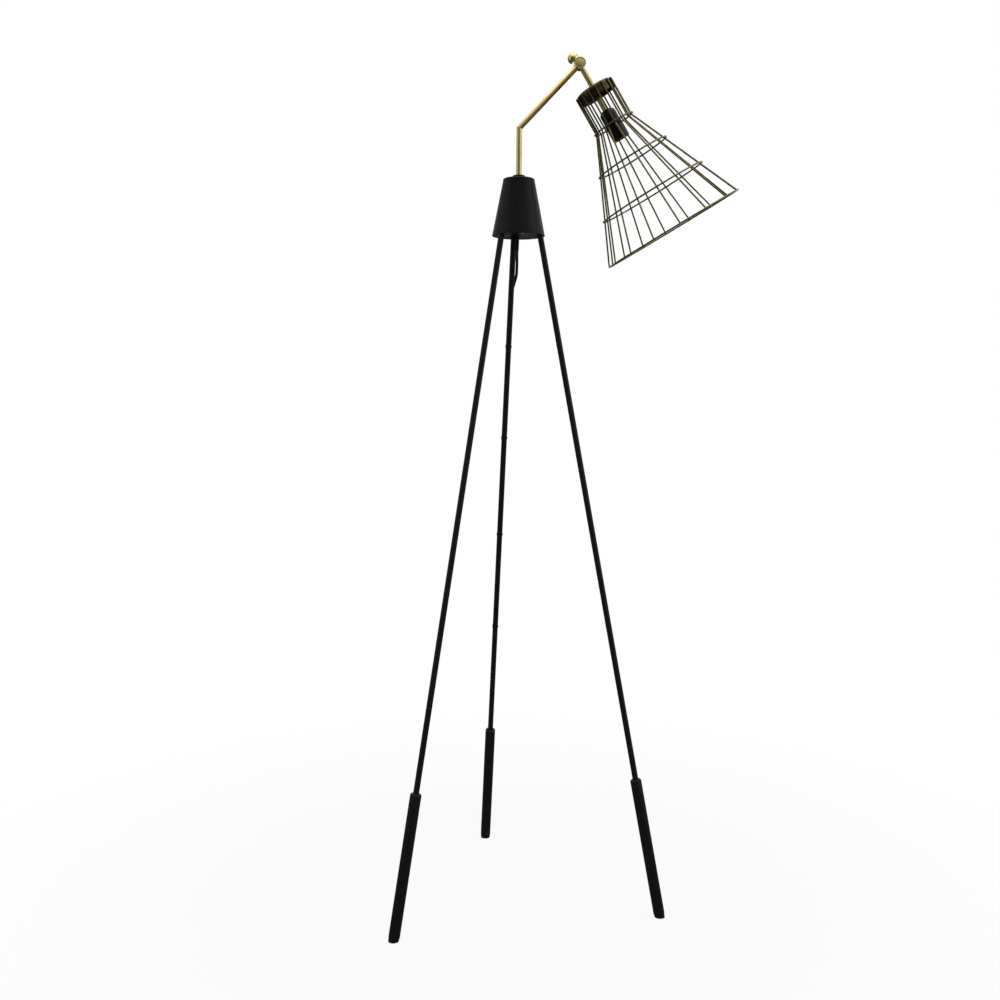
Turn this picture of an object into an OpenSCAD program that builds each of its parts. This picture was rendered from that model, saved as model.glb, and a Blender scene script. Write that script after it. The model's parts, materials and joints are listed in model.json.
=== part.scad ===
// Tripod floor lamp with a tilting wire cage shade. Millimetres, Z up.
// The floor is z = 0, the tripod stands round the Z axis and the arm leans towards +X.

/* [Tripod] */
// Height of the hub's underside above the floor
hub_z = 1280; // [1100:10:1540]
// Radius of the circle that the feet stand on
foot_circle_r = 292; // [240:1:350]
// Direction of the first leg seen from above, counted from the arm
first_leg_angle = -22; // [-26:1:-18]
// Diameter of a leg rod
leg_d = 11; // [9:0.2:13.2]
// Diameter of the threaded stud on top of a leg
stud_d = 8; // [6:0.5:9]
// Length of that stud
stud_len = 24; // [16:1:26]
// Depth of the seat that a leg's shoulder goes up into
leg_seat_depth = 3; // [2:0.5:5]
// Level gap between a leg and the hub's inner wall
leg_gap = 0.4; // [0.3:0.1:3]

/* [Feet] */
// Outside diameter of a foot sleeve
sleeve_d = 21; // [17:0.5:26]
// Length of a foot sleeve
sleeve_len = 262; // [180:1:340]
// Height of the rounded shoulder at the sleeve's top
sleeve_shoulder = 4; // [2:0.5:8]
// Thickness of the sleeve's closed lower end
sleeve_end = 14; // [10:1:24]
// Thickness of the rubber pad under a sleeve, on the leg's centre line
pad_t = 6; // [5:0.5:12]
// How far the pad's side stands in from the sleeve's
pad_inset = 0.7; // [0.3:0.1:2]
// Diameter of the screw that holds a sleeve to its leg
foot_screw_d = 5; // [4:0.5:6]
// Length of that screw's thread inside the leg
foot_screw_grip = 18; // [10:1:30]

/* [Hub] */
// Height of the cone-shaped hub
hub_h = 105; // [90:1:126]
// Diameter of the hub at its underside
hub_d = 99; // [90:1:118]
// Level thickness of the hub's wall
hub_wall = 1.2; // [1:0.1:3]
// Height of the hollow inside the hub
hub_hollow_h = 68; // [62:1:74]
// Radius of the rounded edge round the hub's top
hub_round = 3; // [1:0.5:5]
// Depth of the turned line above the hub's lower edge
hub_line = 0.4; // [0.2:0.1:0.8]
// Thickness of the block that the legs screw into
block_t = 30; // [29:1:36]
// Gap round the block inside the hub
block_gap = 0.4; // [0.2:0.1:1]
// Thickness of the cover plate in the hub's underside
plate_t = 2; // [1.5:0.5:3]
// Gap round the cover plate and round each leg in it
plate_gap = 0.3; // [0.2:0.1:1]
// Diameter of the black collar on top of the hub
collar_d = 23; // [18:0.5:30]
// Height of that collar
collar_h = 6; // [4:0.5:10]

/* [Arm] */
// Outside diameter of the brass tube
tube_d = 10.5; // [9.5:0.1:12.6]
// Wall of the brass tube
tube_wall = 1.9; // [1.5:0.1:2.2]
// Height of the elbow above the hub's top
post_h = 92; // [60:1:140]
// Length of the arm from the elbow to the pivot
arm_len = 162; // [130:1:220]
// Lean of the arm from upright
arm_lean = 43.3; // [30:0.1:60]
// Depth of the tube inside the hub's collar
post_grip = 58; // [40:1:70]
// Turn of the arm each way from the straight-ahead position
arm_turn = 165; // [90:1:165]

/* [Swivel] */
// Diameter of the round swivel drum
drum_d = 21; // [20:0.5:30]
// Width of the drum along the pivot
drum_w = 20; // [18:0.5:26]
// Thickness of the drum's wall
drum_wall = 3.5; // [2.5:0.1:4]
// Thickness of the drum's end wall and of its cover
drum_end = 2.5; // [2:0.1:4]
// Diameter of the hollow neck that leaves the drum
neck_d = 8; // [7.6:0.1:9]
// Tilt of the shade below its rest position
tilt_down = 12; // [5:1:14]
// Tilt of the shade above its rest position
tilt_up = 75; // [30:1:75]
// Diameter of the round locking knob
knob_d = 19; // [15:0.5:22]
// Diameter of the locking screw
lock_d = 5; // [4:0.5:6]

/* [Head] */
// Lean of the shade's centre line from straight down, at rest
head_lean = 31.3; // [10:0.1:45]
// Distance from the pivot to the top of the cap
cap_drop = 48.8; // [40:0.1:70]
// Diameter of the cap
cap_d = 71.5; // [60:0.5:84]
// Height of the cap
cap_h = 20; // [12:1:26]
// Thickness of the cap's sheet
cap_t = 1; // [0.8:0.1:2]
// Radius of the rounded edge round the cap's top
cap_round = 2; // [1.2:0.1:4]

/* [Cage] */
// Number of upright wires
wire_count = 16; // [8:1:24]
// Turn of the first upright wire about the cage's centre line
wire_turn = 7.8; // [0:0.1:22]
// Diameter of the cage wire
wire_d = 3.2; // [2:0.1:4]
// Diameter of the rim's centre line
rim_d = 275; // [220:1:330]
// Depth of the cage from the top of the cap to the rim
cage_h = 299; // [250:1:360]
// Depth of the straight neck of the cage
neck_h = 78; // [70:1:94]
// Depth of the second ring
ring_2_h = 147; // [120:1:178]
// Depth of the third ring
ring_3_h = 221; // [190:1:240]
// Depth that welded wires melt into each other
weld = 0.2; // [0.1:0.05:0.5]

/* [Lamp socket] */
// Outside diameter of the socket
socket_d = 33; // [32:0.5:40]
// Length of the socket
socket_len = 60; // [54:1:72]
// Distance from the top of the cap to the top of the socket
socket_drop = 47; // [40:1:56]
// Inside radius of the screw shell
shell_r = 13.1; // [13:0.05:13.4]
// Depth of the screw shell
shell_len = 21; // [18:1:26]
// Direction of the switch key round the socket
key_angle = -72; // [-180:1:180]
// Length of the key's handle
key_len = 16; // [12:1:18]
// Width of the key's handle
key_w = 8; // [6:0.5:10]

/* [Mains lead] */
// Diameter of the lead
lead_d = 5.4; // [4.6:0.2:5.6]
// Length of the tapered strain relief under the hub
relief_len = 24; // [20:1:40]
// Width of the band of each lead tie
tie_w = 4; // [2.5:0.5:6]
// Thickness of that band
tie_t = 0.9; // [0.6:0.1:1.5]

/* [Hidden] */
$fn = 64;

// Fits: running gaps and threaded gaps
run_gap = 0.05;
thread_gap = 0.03;

// Tripod
hub_r = hub_d / 2;
leg_r = leg_d / 2;
leg_level_r = leg_r * sqrt(1 + pow((foot_circle_r - hub_r) / hub_z, 2));
leg_hub_r = hub_r - hub_wall - leg_gap - leg_level_r;
leg_slope = (foot_circle_r - leg_hub_r) / hub_z;
leg_lean = atan(leg_slope);
hub_top_z = hub_z + hub_h;
hollow_z = hub_z + hub_hollow_h;
block_z = hollow_z - block_t;
seat_along = (block_z + leg_seat_depth) / cos(leg_lean);
sleeve_r = sleeve_d / 2;
sleeve_top = pad_t + sleeve_len;
leg_foot = pad_t + sleeve_end;
foot_head_r = 0.9 * foot_screw_d;
foot_head_h = 0.6 * foot_screw_d;
plate_z = hub_z + 1;
plate_screw_d = 3;
plate_screw_r = hub_r - hub_wall - block_gap - leg_slope * (block_z - hub_z) - 4;
lighten_circle_r = plate_screw_r - 11;

// Collar, its nut, and what holds the arm in it
tube_r = tube_d / 2;
tube_bore_r = tube_r - tube_wall;
nipple_r = tube_r - 1.25;
nipple_bore_r = lead_d / 2 + 0.2;
shank_r = tube_r + 2.75;
post_foot_z = hub_top_z - post_grip;
washer_t = 1.5;
nut_t = 6.5;
nut_z = block_z - washer_t - nut_t;
bush_foot_z = nut_z - 1;
nut_across = 2 * shank_r + 6;
ring_nut_t = 8;
ring_nut_r = nipple_r + 5;
ring_nut_z = bush_foot_z - 1 - ring_nut_t;
nipple_foot_z = ring_nut_z - 1;
nipple_grip = 12;
stop_d = 3;
stop_r = nut_across / sqrt(3) + stop_d / 2 + 1;

// Arm and pivot
elbow_z = hub_top_z + post_h;
pivot_x = arm_len * sin(arm_lean);
pivot_z = elbow_z + arm_len * cos(arm_lean);

// Swivel; directions round the pivot are counted from +X towards +Z
drum_r = drum_d / 2;
rotor_r = drum_r - drum_wall;
neck_r = neck_d / 2;
neck_bore_r = lead_d / 2 + 0.15;
stem_dir = head_lean - 90;
arm_dir = 270 - arm_lean;
lock_dir = arm_dir - 90;
slot_spare = asin((neck_r + 0.1) / rotor_r);
stem_start = drum_r + 1.5;
neck_grip = 10;
cover_r = rotor_r + 1.5;
rotor_w = drum_w - 2 * drum_end - 2 * run_gap;
lock_y = (neck_bore_r + rotor_w / 2) / 2;
window_spare = asin((neck_bore_r + 0.3) / rotor_r);
lock_tip_r = (rotor_w / 2 - neck_bore_r) / 2 - 0.2;
knob_r = knob_d / 2;
knob_base = drum_r + 0.8;
knob_h = knob_r + 6.5;

// Head, counted from the pivot down the stem
cap_foot = cap_drop + cap_h;
seat_t = 1.5;
cap_nut_t = 5;
cage_foot = cap_drop + cage_h;
socket_top = cap_drop + socket_drop;
socket_foot = socket_top + socket_len;
socket_r = socket_d / 2;
stem_end = socket_top + 7;
shell_wall = 0.5;
cap_skirt_t = 1.8;
joint_z = socket_top + 24;
core_top = socket_top + 8;
core_r = socket_r - 1 - cap_skirt_t - thread_gap - 1.1;
shell_foot = socket_foot - 2;
shell_top = shell_foot - shell_len;
// The centre contact is a disc let into the core, flush with the floor of the shell
contact_r = 4.5;
contact_t = 1.2;
key_depth = socket_top + 12;
key_shaft_r = 2;

// Cage
wire_r = wire_d / 2;
wire_circle_r = cap_d / 2 + wire_r - weld;
bend_depth = cap_drop + neck_h;
rim_r = rim_d / 2;
flare = atan((rim_r - wire_circle_r) / (cage_foot - bend_depth));
flare_len = (cage_foot - bend_depth) / cos(flare) - wire_r + weld;
ring_out = wire_d - weld;

// Lead: a smooth line through points chosen by hand, from the strain relief to the hank
lead_r = lead_d / 2;
relief_xy = [0, 31];
relief_foot_z = plate_z - relief_len;
lead_route = [
    [0, 31, 1257], [0, 31, 1251], [0.1, 32.3, 1243], [0.5, 36.2, 1234.8], [0.9, 45, 1224.6],
    [0.9, 56.2, 1212.5], [-2.4, 65.4, 1198.5], [-6.3, 71.4, 1184], [-9, 76, 1165], [-10.5, 80.5, 1140],
    [-12.6, 89.5, 1080], [-17.5, 124.3, 900], [-23, 163, 700], [-28.4, 201.8, 500],
    [-32.8, 232.6, 340], [-34, 241.8, 300], [-35.5, 252.5, 262], [-36.5, 259.3, 228],
    [-38.5, 274.5, 150], [-40.6, 290, 70], [-41.6, 298, 34], [-41.8, 305, 18], [-40.6, 316, 7],
    [-38.4, 330, 3.3], [-36.2, 345, 2.75], [-35, 362, 2.7]
];
ring_step = 3.3 * lead_d;
tie_points = [10, 11, 12, 13];

// Hank: the unseen length in long turns on edge, behind the rear foot
hank_dir = 86;
hank_xy = [-35, 362];
hank_run = 62;
hank_turn_r = 3 * lead_d;
hank_layers = 2;
hank_columns = 3;
hank_round = hank_turn_r + (hank_layers - 0.5) * lead_d;
hank_w = hank_columns * lead_d + 0.6;
hank_tie_w = 9;
tail_len = 24;
plug_body = [27, 18, 13];
plug_relief = 20;
blade = [17, 1.5, 6.3];
blade_gap = 12.7;

matte_black = "#1d1d1f";
black_rubber = "#151515";
polished_brass = "#c9a64a";
aged_brass = "#5a4a33";
steel = "#9a9da0";
bakelite = "#121213";

// ---------- helpers ----------

// A washer or plain ring between two depths
module ring(outer, inner, height) {
    difference() {
        cylinder(h = height, r = outer);
        translate([0, 0, -1]) cylinder(h = height + 2, r = inner);
    }
}

// A torus round Z
module hoop(centre_r, thick_r) {
    rotate_extrude() translate([centre_r, 0]) circle(r = thick_r, $fn = 24);
}

// Points of an arc, as part of an outline
function arc(centre, r, from, to, steps = 8) =
    [for (i = [0:steps]) let (a = from + (to - from) * i / steps) centre + r * [cos(a), sin(a)]];

// Leg frame: the origin is on the floor and Z runs up the leg
function leg_angle(i) = first_leg_angle + 120 * i;
module on_leg(i) {
    rotate([0, 0, leg_angle(i)]) translate([foot_circle_r, 0, 0]) rotate([0, -leg_lean, 0]) children();
}

// Pivot frame: the origin is the pivot, X points in a direction counted from +X towards +Z
module at_pivot(direction = 0) {
    translate([pivot_x, 0, pivot_z]) rotate([0, -direction, 0]) children();
}

// Stem frame: the origin is the pivot and Z runs down the stem
module on_stem() {
    translate([pivot_x, 0, pivot_z]) rotate([0, 180 - head_lean, 0]) children();
}

// A wedge of a disc round the pivot, from one direction to another
module pivot_sector(from, to, inner, outer, width) {
    translate([pivot_x, 0, pivot_z]) rotate([90, 0, 0]) rotate([0, 0, from])
        rotate_extrude(angle = to - from)
            translate([inner, -width / 2]) square([outer - inner, width]);
}

// The room on one side of the elbow's mitre plane, above or below it
module mitre_room(above) {
    far = 2 * arm_len;
    translate([0, 0, elbow_z]) rotate([0, arm_lean / 2, 0])
        translate([-far, -far, above ? 0 : -2 * far]) cube(2 * far);
}

// A rod up the post to the elbow's mitre
module post_rod(r, foot_z) {
    intersection() {
        translate([0, 0, foot_z]) cylinder(h = elbow_z - foot_z + 3 * r, r = r);
        mitre_room(false);
    }
}

// A rod along the arm from the elbow's mitre, coped to a drum round the pivot
module arm_rod(r, cope_r) {
    difference() {
        intersection() {
            translate([0, 0, elbow_z]) rotate([0, arm_lean, 0])
                translate([0, 0, -3 * r]) cylinder(h = arm_len + 3 * r, r = r);
            mitre_room(true);
        }
        at_pivot() rotate([90, 0, 0]) cylinder(h = 2 * drum_w, r = cope_r, center = true);
    }
}

// Smooth line through points: cubic pieces whose slopes follow the neighbouring points
function slope_at(p, i) =
    let (a = max(i - 1, 0), b = min(i + 1, len(p) - 1))
    (p[b] - p[a]) / (norm(p[b] - p[i]) + norm(p[i] - p[a]));
function between(p, i, t) =
    let (s = norm(p[i + 1] - p[i]))
    (2 * pow(t, 3) - 3 * pow(t, 2) + 1) * p[i] + (pow(t, 3) - 2 * pow(t, 2) + t) * s * slope_at(p, i)
    + (3 * pow(t, 2) - 2 * pow(t, 3)) * p[i + 1] + (pow(t, 3) - pow(t, 2)) * s * slope_at(p, i + 1);
function smooth(p, step) = concat(
    [for (i = [0:len(p) - 2])
        let (n = max(1, round(norm(p[i + 1] - p[i]) / step)))
        for (k = [0:n - 1]) between(p, i, k / n)],
    [p[len(p) - 1]]
);

// A closed tube along a line, whose rings keep their sides level
module tube_along(line, r, sides = 10) {
    n = len(line);
    function unit(v) = v / norm(v);
    function way(i) = unit(line[min(i + 1, n - 1)] - line[max(i - 1, 0)]);
    function side(i) = unit(cross(way(i), [1, 0, 0]));
    points = [for (i = [0:n - 1]) for (k = [0:sides - 1])
        let (a = 360 * k / sides, s = side(i))
        line[i] + r * (cos(a) * s + sin(a) * cross(way(i), s))];
    walls = [for (i = [0:n - 2]) for (k = [0:sides - 1])
        let (m = (k + 1) % sides)
        [i * sides + k, (i + 1) * sides + k, (i + 1) * sides + m, i * sides + m]];
    ends = [[for (k = [0:sides - 1]) k], [for (k = [sides - 1:-1:0]) (n - 1) * sides + k]];
    polyhedron(points = points, faces = concat(walls, ends));
}

// ---------- hub ----------

// Radius of the hub's outside at a height above its underside
function hub_r_at(h) = hub_r - leg_slope * h;

module hub_shell() {
    inner_r = shank_r + 0.1;
    top_r = hub_r_at(hub_h);
    line_h = 4;
    color(matte_black) translate([0, 0, hub_z]) rotate_extrude($fn = 96) polygon(concat(
        [[hub_r - hub_wall, 0], [hub_r - 0.3, 0], [hub_r, 0.5], [hub_r_at(line_h), line_h],
         [hub_r_at(line_h) - hub_line, line_h + 0.3], [hub_r_at(line_h + 1) - hub_line, line_h + 0.7],
         [hub_r_at(line_h + 1), line_h + 1]],
        arc([top_r - hub_round + leg_slope * hub_round, hub_h - hub_round], hub_round, -leg_lean, 90),
        [[inner_r, hub_h], [inner_r, hub_hollow_h],
         [hub_r_at(hub_hollow_h) - hub_wall, hub_hollow_h]]
    ));
}

module leg_block() {
    low_r = hub_r_at(block_z - hub_z) - hub_wall - block_gap;
    high_r = hub_r_at(hub_hollow_h) - hub_wall - block_gap;
    lighten_r = 7;
    color(steel) difference() {
        translate([0, 0, block_z]) cylinder(h = block_t, r1 = low_r, r2 = high_r);
        translate([0, 0, block_z - 1]) cylinder(h = block_t + 2, r = shank_r + run_gap);
        for (i = [0:2]) {
            on_leg(i) {
                translate([0, 0, seat_along - 20]) cylinder(h = 20, r = leg_r + 0.1);
                translate([0, 0, seat_along - 1])
                    cylinder(h = stud_len + 1.4, r = stud_d / 2 + thread_gap);
            }
            rotate([0, 0, leg_angle(i) + 60]) {
                translate([lighten_circle_r, 0, block_z - 1]) cylinder(h = block_t - 6, r = lighten_r);
                translate([plate_screw_r, 0, block_z - 1])
                    cylinder(h = 10, r = plate_screw_d / 2 + thread_gap);
            }
        }
        translate([stop_r, 0, block_z - 1]) cylinder(h = 7 + 1, r = stop_d / 2);
    }
}

module collar_bush() {
    color(matte_black) difference() {
        union() {
            translate([0, 0, bush_foot_z]) cylinder(h = hub_top_z - bush_foot_z + 1, r = shank_r);
            translate([0, 0, hub_top_z]) cylinder(h = collar_h - 0.8, r = collar_d / 2);
            translate([0, 0, hub_top_z + collar_h - 0.8])
                cylinder(h = 0.8, r1 = collar_d / 2, r2 = collar_d / 2 - 0.8);
        }
        translate([0, 0, post_foot_z]) cylinder(h = post_grip + collar_h + 1, r = tube_r + run_gap);
        translate([0, 0, bush_foot_z - 1])
            cylinder(h = post_foot_z - bush_foot_z + 2, r = nipple_r + run_gap);
    }
}

module bush_washer() {
    color(steel) translate([0, 0, block_z - washer_t])
        ring(nut_across / sqrt(3), shank_r + run_gap, washer_t);
}

module bush_nut() {
    color(steel) translate([0, 0, nut_z]) difference() {
        cylinder(h = nut_t, r = nut_across / sqrt(3), $fn = 6);
        translate([0, 0, -1]) cylinder(h = nut_t + 2, r = shank_r + thread_gap);
    }
}

module stop_peg() {
    color(steel) translate([stop_r, 0, ring_nut_z + 1])
        cylinder(h = block_z + 7 - ring_nut_z - 1, r = stop_d / 2);
}

module hub_plate() {
    plate_r = hub_r_at(plate_z + plate_t - hub_z) - hub_wall - plate_gap;
    color(matte_black) difference() {
        translate([0, 0, plate_z]) cylinder(h = plate_t, r = plate_r);
        for (i = [0:2]) {
            on_leg(i) translate([0, 0, seat_along - 80]) cylinder(h = 60, r = leg_r + plate_gap);
            rotate([0, 0, leg_angle(i) + 60]) translate([plate_screw_r, 0, plate_z - 1])
                cylinder(h = plate_t + 2, r = plate_screw_d / 2 + 0.2);
        }
        translate([relief_xy.x, relief_xy.y, plate_z - 1]) cylinder(h = plate_t + 2, r = relief_r());
    }
}

module plate_screws() {
    color(steel) for (i = [0:2])
        rotate([0, 0, leg_angle(i) + 60]) translate([plate_screw_r, 0, 0]) {
            translate([0, 0, plate_z - 1.8]) cylinder(h = 1.8, r1 = 2, r2 = 2.8);
            translate([0, 0, plate_z - 0.5])
                cylinder(h = block_z - plate_z + 8, r = plate_screw_d / 2);
        }
}

// ---------- strain relief and the lead inside the hub ----------

function relief_r() = lead_r + 1.5;

module strain_relief() {
    color(black_rubber) difference() {
        translate([relief_xy.x, relief_xy.y, 0]) {
            translate([0, 0, relief_foot_z])
                cylinder(h = relief_len, r1 = lead_r + 0.7, r2 = relief_r());
            translate([0, 0, plate_z - 0.01]) cylinder(h = plate_t + 0.02, r = relief_r());
            translate([0, 0, plate_z + plate_t]) cylinder(h = 3, r = relief_r() + 1.5);
        }
        translate([relief_xy.x, relief_xy.y, relief_foot_z - 1])
            cylinder(h = relief_len + plate_t + 6, r = lead_r + run_gap);
        for (i = [0:2])
            on_leg(i) translate([0, 0, seat_along - 100]) cylinder(h = 110, r = leg_r + 0.2);
    }
}

module hub_lead() {
    color(black_rubber) translate([relief_xy.x, relief_xy.y, relief_foot_z])
        cylinder(h = relief_len + plate_t + 12, r = lead_r);
}

// ---------- legs and feet ----------

module leg(i) {
    color(matte_black) on_leg(i) difference() {
        union() {
            translate([0, 0, leg_foot]) cylinder(h = seat_along - leg_foot, r = leg_r);
            translate([0, 0, seat_along]) cylinder(h = stud_len - 1, r = stud_d / 2);
            translate([0, 0, seat_along + stud_len - 1])
                cylinder(h = 1, r1 = stud_d / 2, r2 = stud_d / 2 - 1);
        }
        translate([0, 0, leg_foot - 1])
            cylinder(h = foot_screw_grip + 4, r = foot_screw_d / 2 + thread_gap);
    }
}

module foot_sleeve(i) {
    color(matte_black) on_leg(i) difference() {
        union() {
            translate([0, 0, pad_t]) cylinder(h = 1, r1 = sleeve_r - 0.6, r2 = sleeve_r);
            translate([0, 0, pad_t + 1]) cylinder(h = sleeve_len - sleeve_shoulder - 1, r = sleeve_r);
            translate([0, 0, sleeve_top - sleeve_shoulder]) rotate_extrude() polygon(concat(
                [[0, 0], [sleeve_r, 0]],
                arc([sleeve_r - sleeve_shoulder, 0], sleeve_shoulder, 0, 90, 6),
                [[0, sleeve_shoulder]]
            ));
        }
        translate([0, 0, leg_foot]) cylinder(h = sleeve_len, r = leg_r + run_gap);
        translate([0, 0, pad_t - 1]) cylinder(h = sleeve_end + 2, r = foot_screw_d / 2 + 0.2);
        translate([0, 0, pad_t - 1]) cylinder(h = foot_head_h + 3, r = foot_head_r + 0.5);
    }
}

module foot_pad(i) {
    boss_h = 1.5;
    color(black_rubber) difference() {
        on_leg(i) union() {
            translate([0, 0, -sleeve_r]) cylinder(h = sleeve_r + pad_t, r = sleeve_r - pad_inset);
            translate([0, 0, pad_t]) cylinder(h = boss_h, r = foot_head_r + 0.5 - run_gap);
        }
        translate([0, 0, -2 * sleeve_d])
            cylinder(h = 2 * sleeve_d, r = foot_circle_r + 2 * sleeve_d);
    }
}

module foot_screws() {
    color(steel) for (i = [0:2]) on_leg(i) {
        translate([0, 0, pad_t + 2]) cylinder(h = foot_head_h, r = foot_head_r);
        translate([0, 0, pad_t + 2 + foot_head_h - 0.5])
            cylinder(h = sleeve_end - 2 - foot_head_h + 0.5 + foot_screw_grip, r = foot_screw_d / 2);
    }
}

// ---------- mains lead outside the hub ----------

// A point of the room in the second leg's frame
function in_leg(p) =
    let (a = leg_angle(1), q = [p.x * cos(a) + p.y * sin(a) - foot_circle_r, p.y * cos(a) - p.x * sin(a)])
    [q.x * cos(leg_lean) + p.z * sin(leg_lean), q.y, p.z * cos(leg_lean) - q.x * sin(leg_lean)];

// The outline round two circles whose centres lie apart
module belt(r1, r2, apart) {
    hull() {
        circle(r = r1, $fn = 40);
        translate([apart, 0]) circle(r = r2, $fn = 40);
    }
}

module lead_tie(at) {
    apart = norm([at.x, at.y]);
    on_leg(1) translate([0, 0, at.z - tie_w / 2]) rotate([0, 0, atan2(at.y, at.x)])
        linear_extrude(height = tie_w) difference() {
            belt(leg_r + run_gap + tie_t, lead_r + 0.1 + tie_t, apart);
            belt(leg_r + run_gap, lead_r + 0.1, apart);
        }
}

module lead_ties() {
    color(black_rubber) for (i = tie_points) lead_tie(in_leg(lead_route[i]));
}

module lead_run() {
    color(black_rubber) tube_along(smooth(lead_route, ring_step), lead_r);
}

// Hank frame: the origin is where the lead runs into the hank, X runs along the hank
module on_hank() {
    translate([hank_xy.x, hank_xy.y, 0]) rotate([0, 0, hank_dir]) children();
}

module hank_outline(grow) {
    r = hank_round + grow;
    translate([0, hank_round]) circle(r = r);
    translate([hank_run, hank_round]) circle(r = r);
    translate([0, hank_round - r]) square([hank_run, 2 * r]);
}

module lead_hank() {
    inner = -hank_layers * lead_d - 1;
    color(black_rubber) on_hank() difference() {
        translate([0, hank_w / 2, 0]) rotate([90, 0, 0]) linear_extrude(height = hank_w)
            difference() {
                hank_outline(0);
                hank_outline(inner);
            }
        for (way = [0, 1])
            translate([way * hank_run, 0, lead_r]) rotate([0, way * 180 - 90, 0])
                cylinder(h = 2 * hank_round, r = lead_r + 0.1);
    }
}

module hank_tie() {
    color(black_rubber) on_hank() translate([(hank_run - hank_tie_w) / 2, 0, 0]) difference() {
        translate([0, -hank_w / 2 - 0.3 - tie_t, 0])
            cube([hank_tie_w, hank_w + 0.6 + 2 * tie_t, 2 * hank_round + 0.3 + tie_t]);
        translate([-1, -hank_w / 2 - 0.3, -1])
            cube([hank_tie_w + 2, hank_w + 0.6, 2 * hank_round + 1.3]);
    }
}

module lead_tail() {
    color(black_rubber) on_hank() translate([hank_run, 0, lead_r]) rotate([0, 90, 0])
        cylinder(h = hank_round + tail_len, r = lead_r);
}

module plug_body() {
    start = hank_run + hank_round + tail_len;
    color(black_rubber) on_hank() difference() {
        union() {
            translate([start, 0, lead_r]) rotate([0, 90, 0])
                cylinder(h = plug_relief, r1 = lead_r + 0.6, r2 = plug_body.z / 2);
            translate([start + plug_relief - 0.01, -plug_body.y / 2, 0])
                cube([plug_body.x, plug_body.y, plug_body.z]);
        }
        translate([start, 0, lead_r]) translate([-1, -plug_body.y, -plug_body.z - lead_r])
            cube([plug_relief + 10, 2 * plug_body.y, plug_body.z]);
        translate([start - 1, 0, lead_r]) rotate([0, 90, 0]) cylinder(h = 13, r = lead_r);
        for (side = [-1, 1]) plug_blade(side, 0.03);
    }
}

// A blade of the plug, with a gap all round it for its slot
module plug_blade(side, gap) {
    start = hank_run + hank_round + tail_len + plug_relief + plug_body.x;
    translate([start - 8 - gap, side * blade_gap / 2 - blade.y / 2 - gap,
        plug_body.z / 2 - blade.z / 2 - gap])
        cube([blade.x + 8 + gap, blade.y + 2 * gap, blade.z + 2 * gap]);
}

module plug_blades() {
    color(polished_brass) on_hank() for (side = [-1, 1]) plug_blade(side, 0);
}

// ---------- arm ----------

module post_tube() {
    color(polished_brass) difference() {
        post_rod(tube_r, post_foot_z);
        translate([0, 0, post_foot_z - 1])
            cylinder(h = elbow_z - post_foot_z + 3 * tube_r, r = tube_bore_r);
        translate([0, 0, post_foot_z - 1]) cylinder(h = nipple_grip + 1.4, r = nipple_r + thread_gap);
    }
}

module arm_tube() {
    color(polished_brass) difference() {
        arm_rod(tube_r, drum_r);
        translate([0, 0, elbow_z]) rotate([0, arm_lean, 0]) translate([0, 0, -3 * tube_r])
            cylinder(h = arm_len + 3 * tube_r, r = tube_bore_r);
    }
}

module arm_nipple() {
    color(steel) translate([0, 0, nipple_foot_z])
        ring(nipple_r, nipple_bore_r, post_foot_z + nipple_grip - nipple_foot_z);
}

module friction_washer() {
    color(steel) translate([0, 0, bush_foot_z - 1]) ring(shank_r, nipple_r + run_gap, 1);
}

module ring_nut() {
    color(steel) difference() {
        translate([0, 0, ring_nut_z]) ring(ring_nut_r, nipple_r + thread_gap, ring_nut_t);
        translate([0, 0, ring_nut_z + ring_nut_t / 2]) rotate([0, -90, 0])
            cylinder(h = ring_nut_r + 1, r = stop_d / 2);
    }
}

module stop_pin() {
    color(steel) translate([-nipple_r - 1, 0, ring_nut_z + ring_nut_t / 2]) rotate([0, -90, 0])
        cylinder(h = stop_r + 2 - nipple_r - 1, r = stop_d / 2);
}

module post_lead() {
    color(black_rubber) post_rod(lead_r, nipple_foot_z);
}

module arm_lead() {
    color(black_rubber) arm_rod(lead_r, rotor_r + 0.5);
}

// ---------- swivel ----------

module swivel_drum() {
    color(polished_brass) difference() {
        at_pivot() rotate([90, 0, 0]) cylinder(h = drum_w, r = drum_r, center = true);
        at_pivot() translate([0, drum_w / 2 - drum_end, 0]) rotate([90, 0, 0])
            cylinder(h = drum_w, r = rotor_r + run_gap);
        at_pivot() translate([0, -drum_w / 2 + drum_end, 0]) rotate([90, 0, 0])
            cylinder(h = drum_end + 1, r = cover_r + thread_gap);
        pivot_sector(stem_dir - tilt_down - slot_spare, stem_dir + tilt_up + slot_spare,
            0, drum_r + 1, 2 * neck_r + 0.3);
        at_pivot(arm_dir) rotate([0, 90, 0]) cylinder(h = drum_r + 1, r = tube_bore_r);
        at_pivot(lock_dir) translate([0, lock_y, 0]) rotate([0, 90, 0])
            cylinder(h = drum_r + 1, r = lock_d / 2 + thread_gap);
    }
}

module drum_cover() {
    color(polished_brass) at_pivot() rotate([90, 0, 0]) difference() {
        translate([0, 0, drum_w / 2 - drum_end]) cylinder(h = drum_end, r = cover_r);
        for (side = [-1, 1]) translate([side * 0.6 * cover_r, 0, drum_w / 2 - 1.2])
            cylinder(h = 2, r = 1, $fn = 24);
    }
}

module lock_screw() {
    color(steel) at_pivot(lock_dir) translate([0, lock_y, 0]) rotate([0, 90, 0]) {
        translate([0, 0, rotor_r + 0.1]) cylinder(h = 1.4, r = lock_tip_r);
        translate([0, 0, rotor_r + 1.5]) cylinder(h = knob_base + 6 - rotor_r - 1.5, r = lock_d / 2);
    }
}

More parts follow.
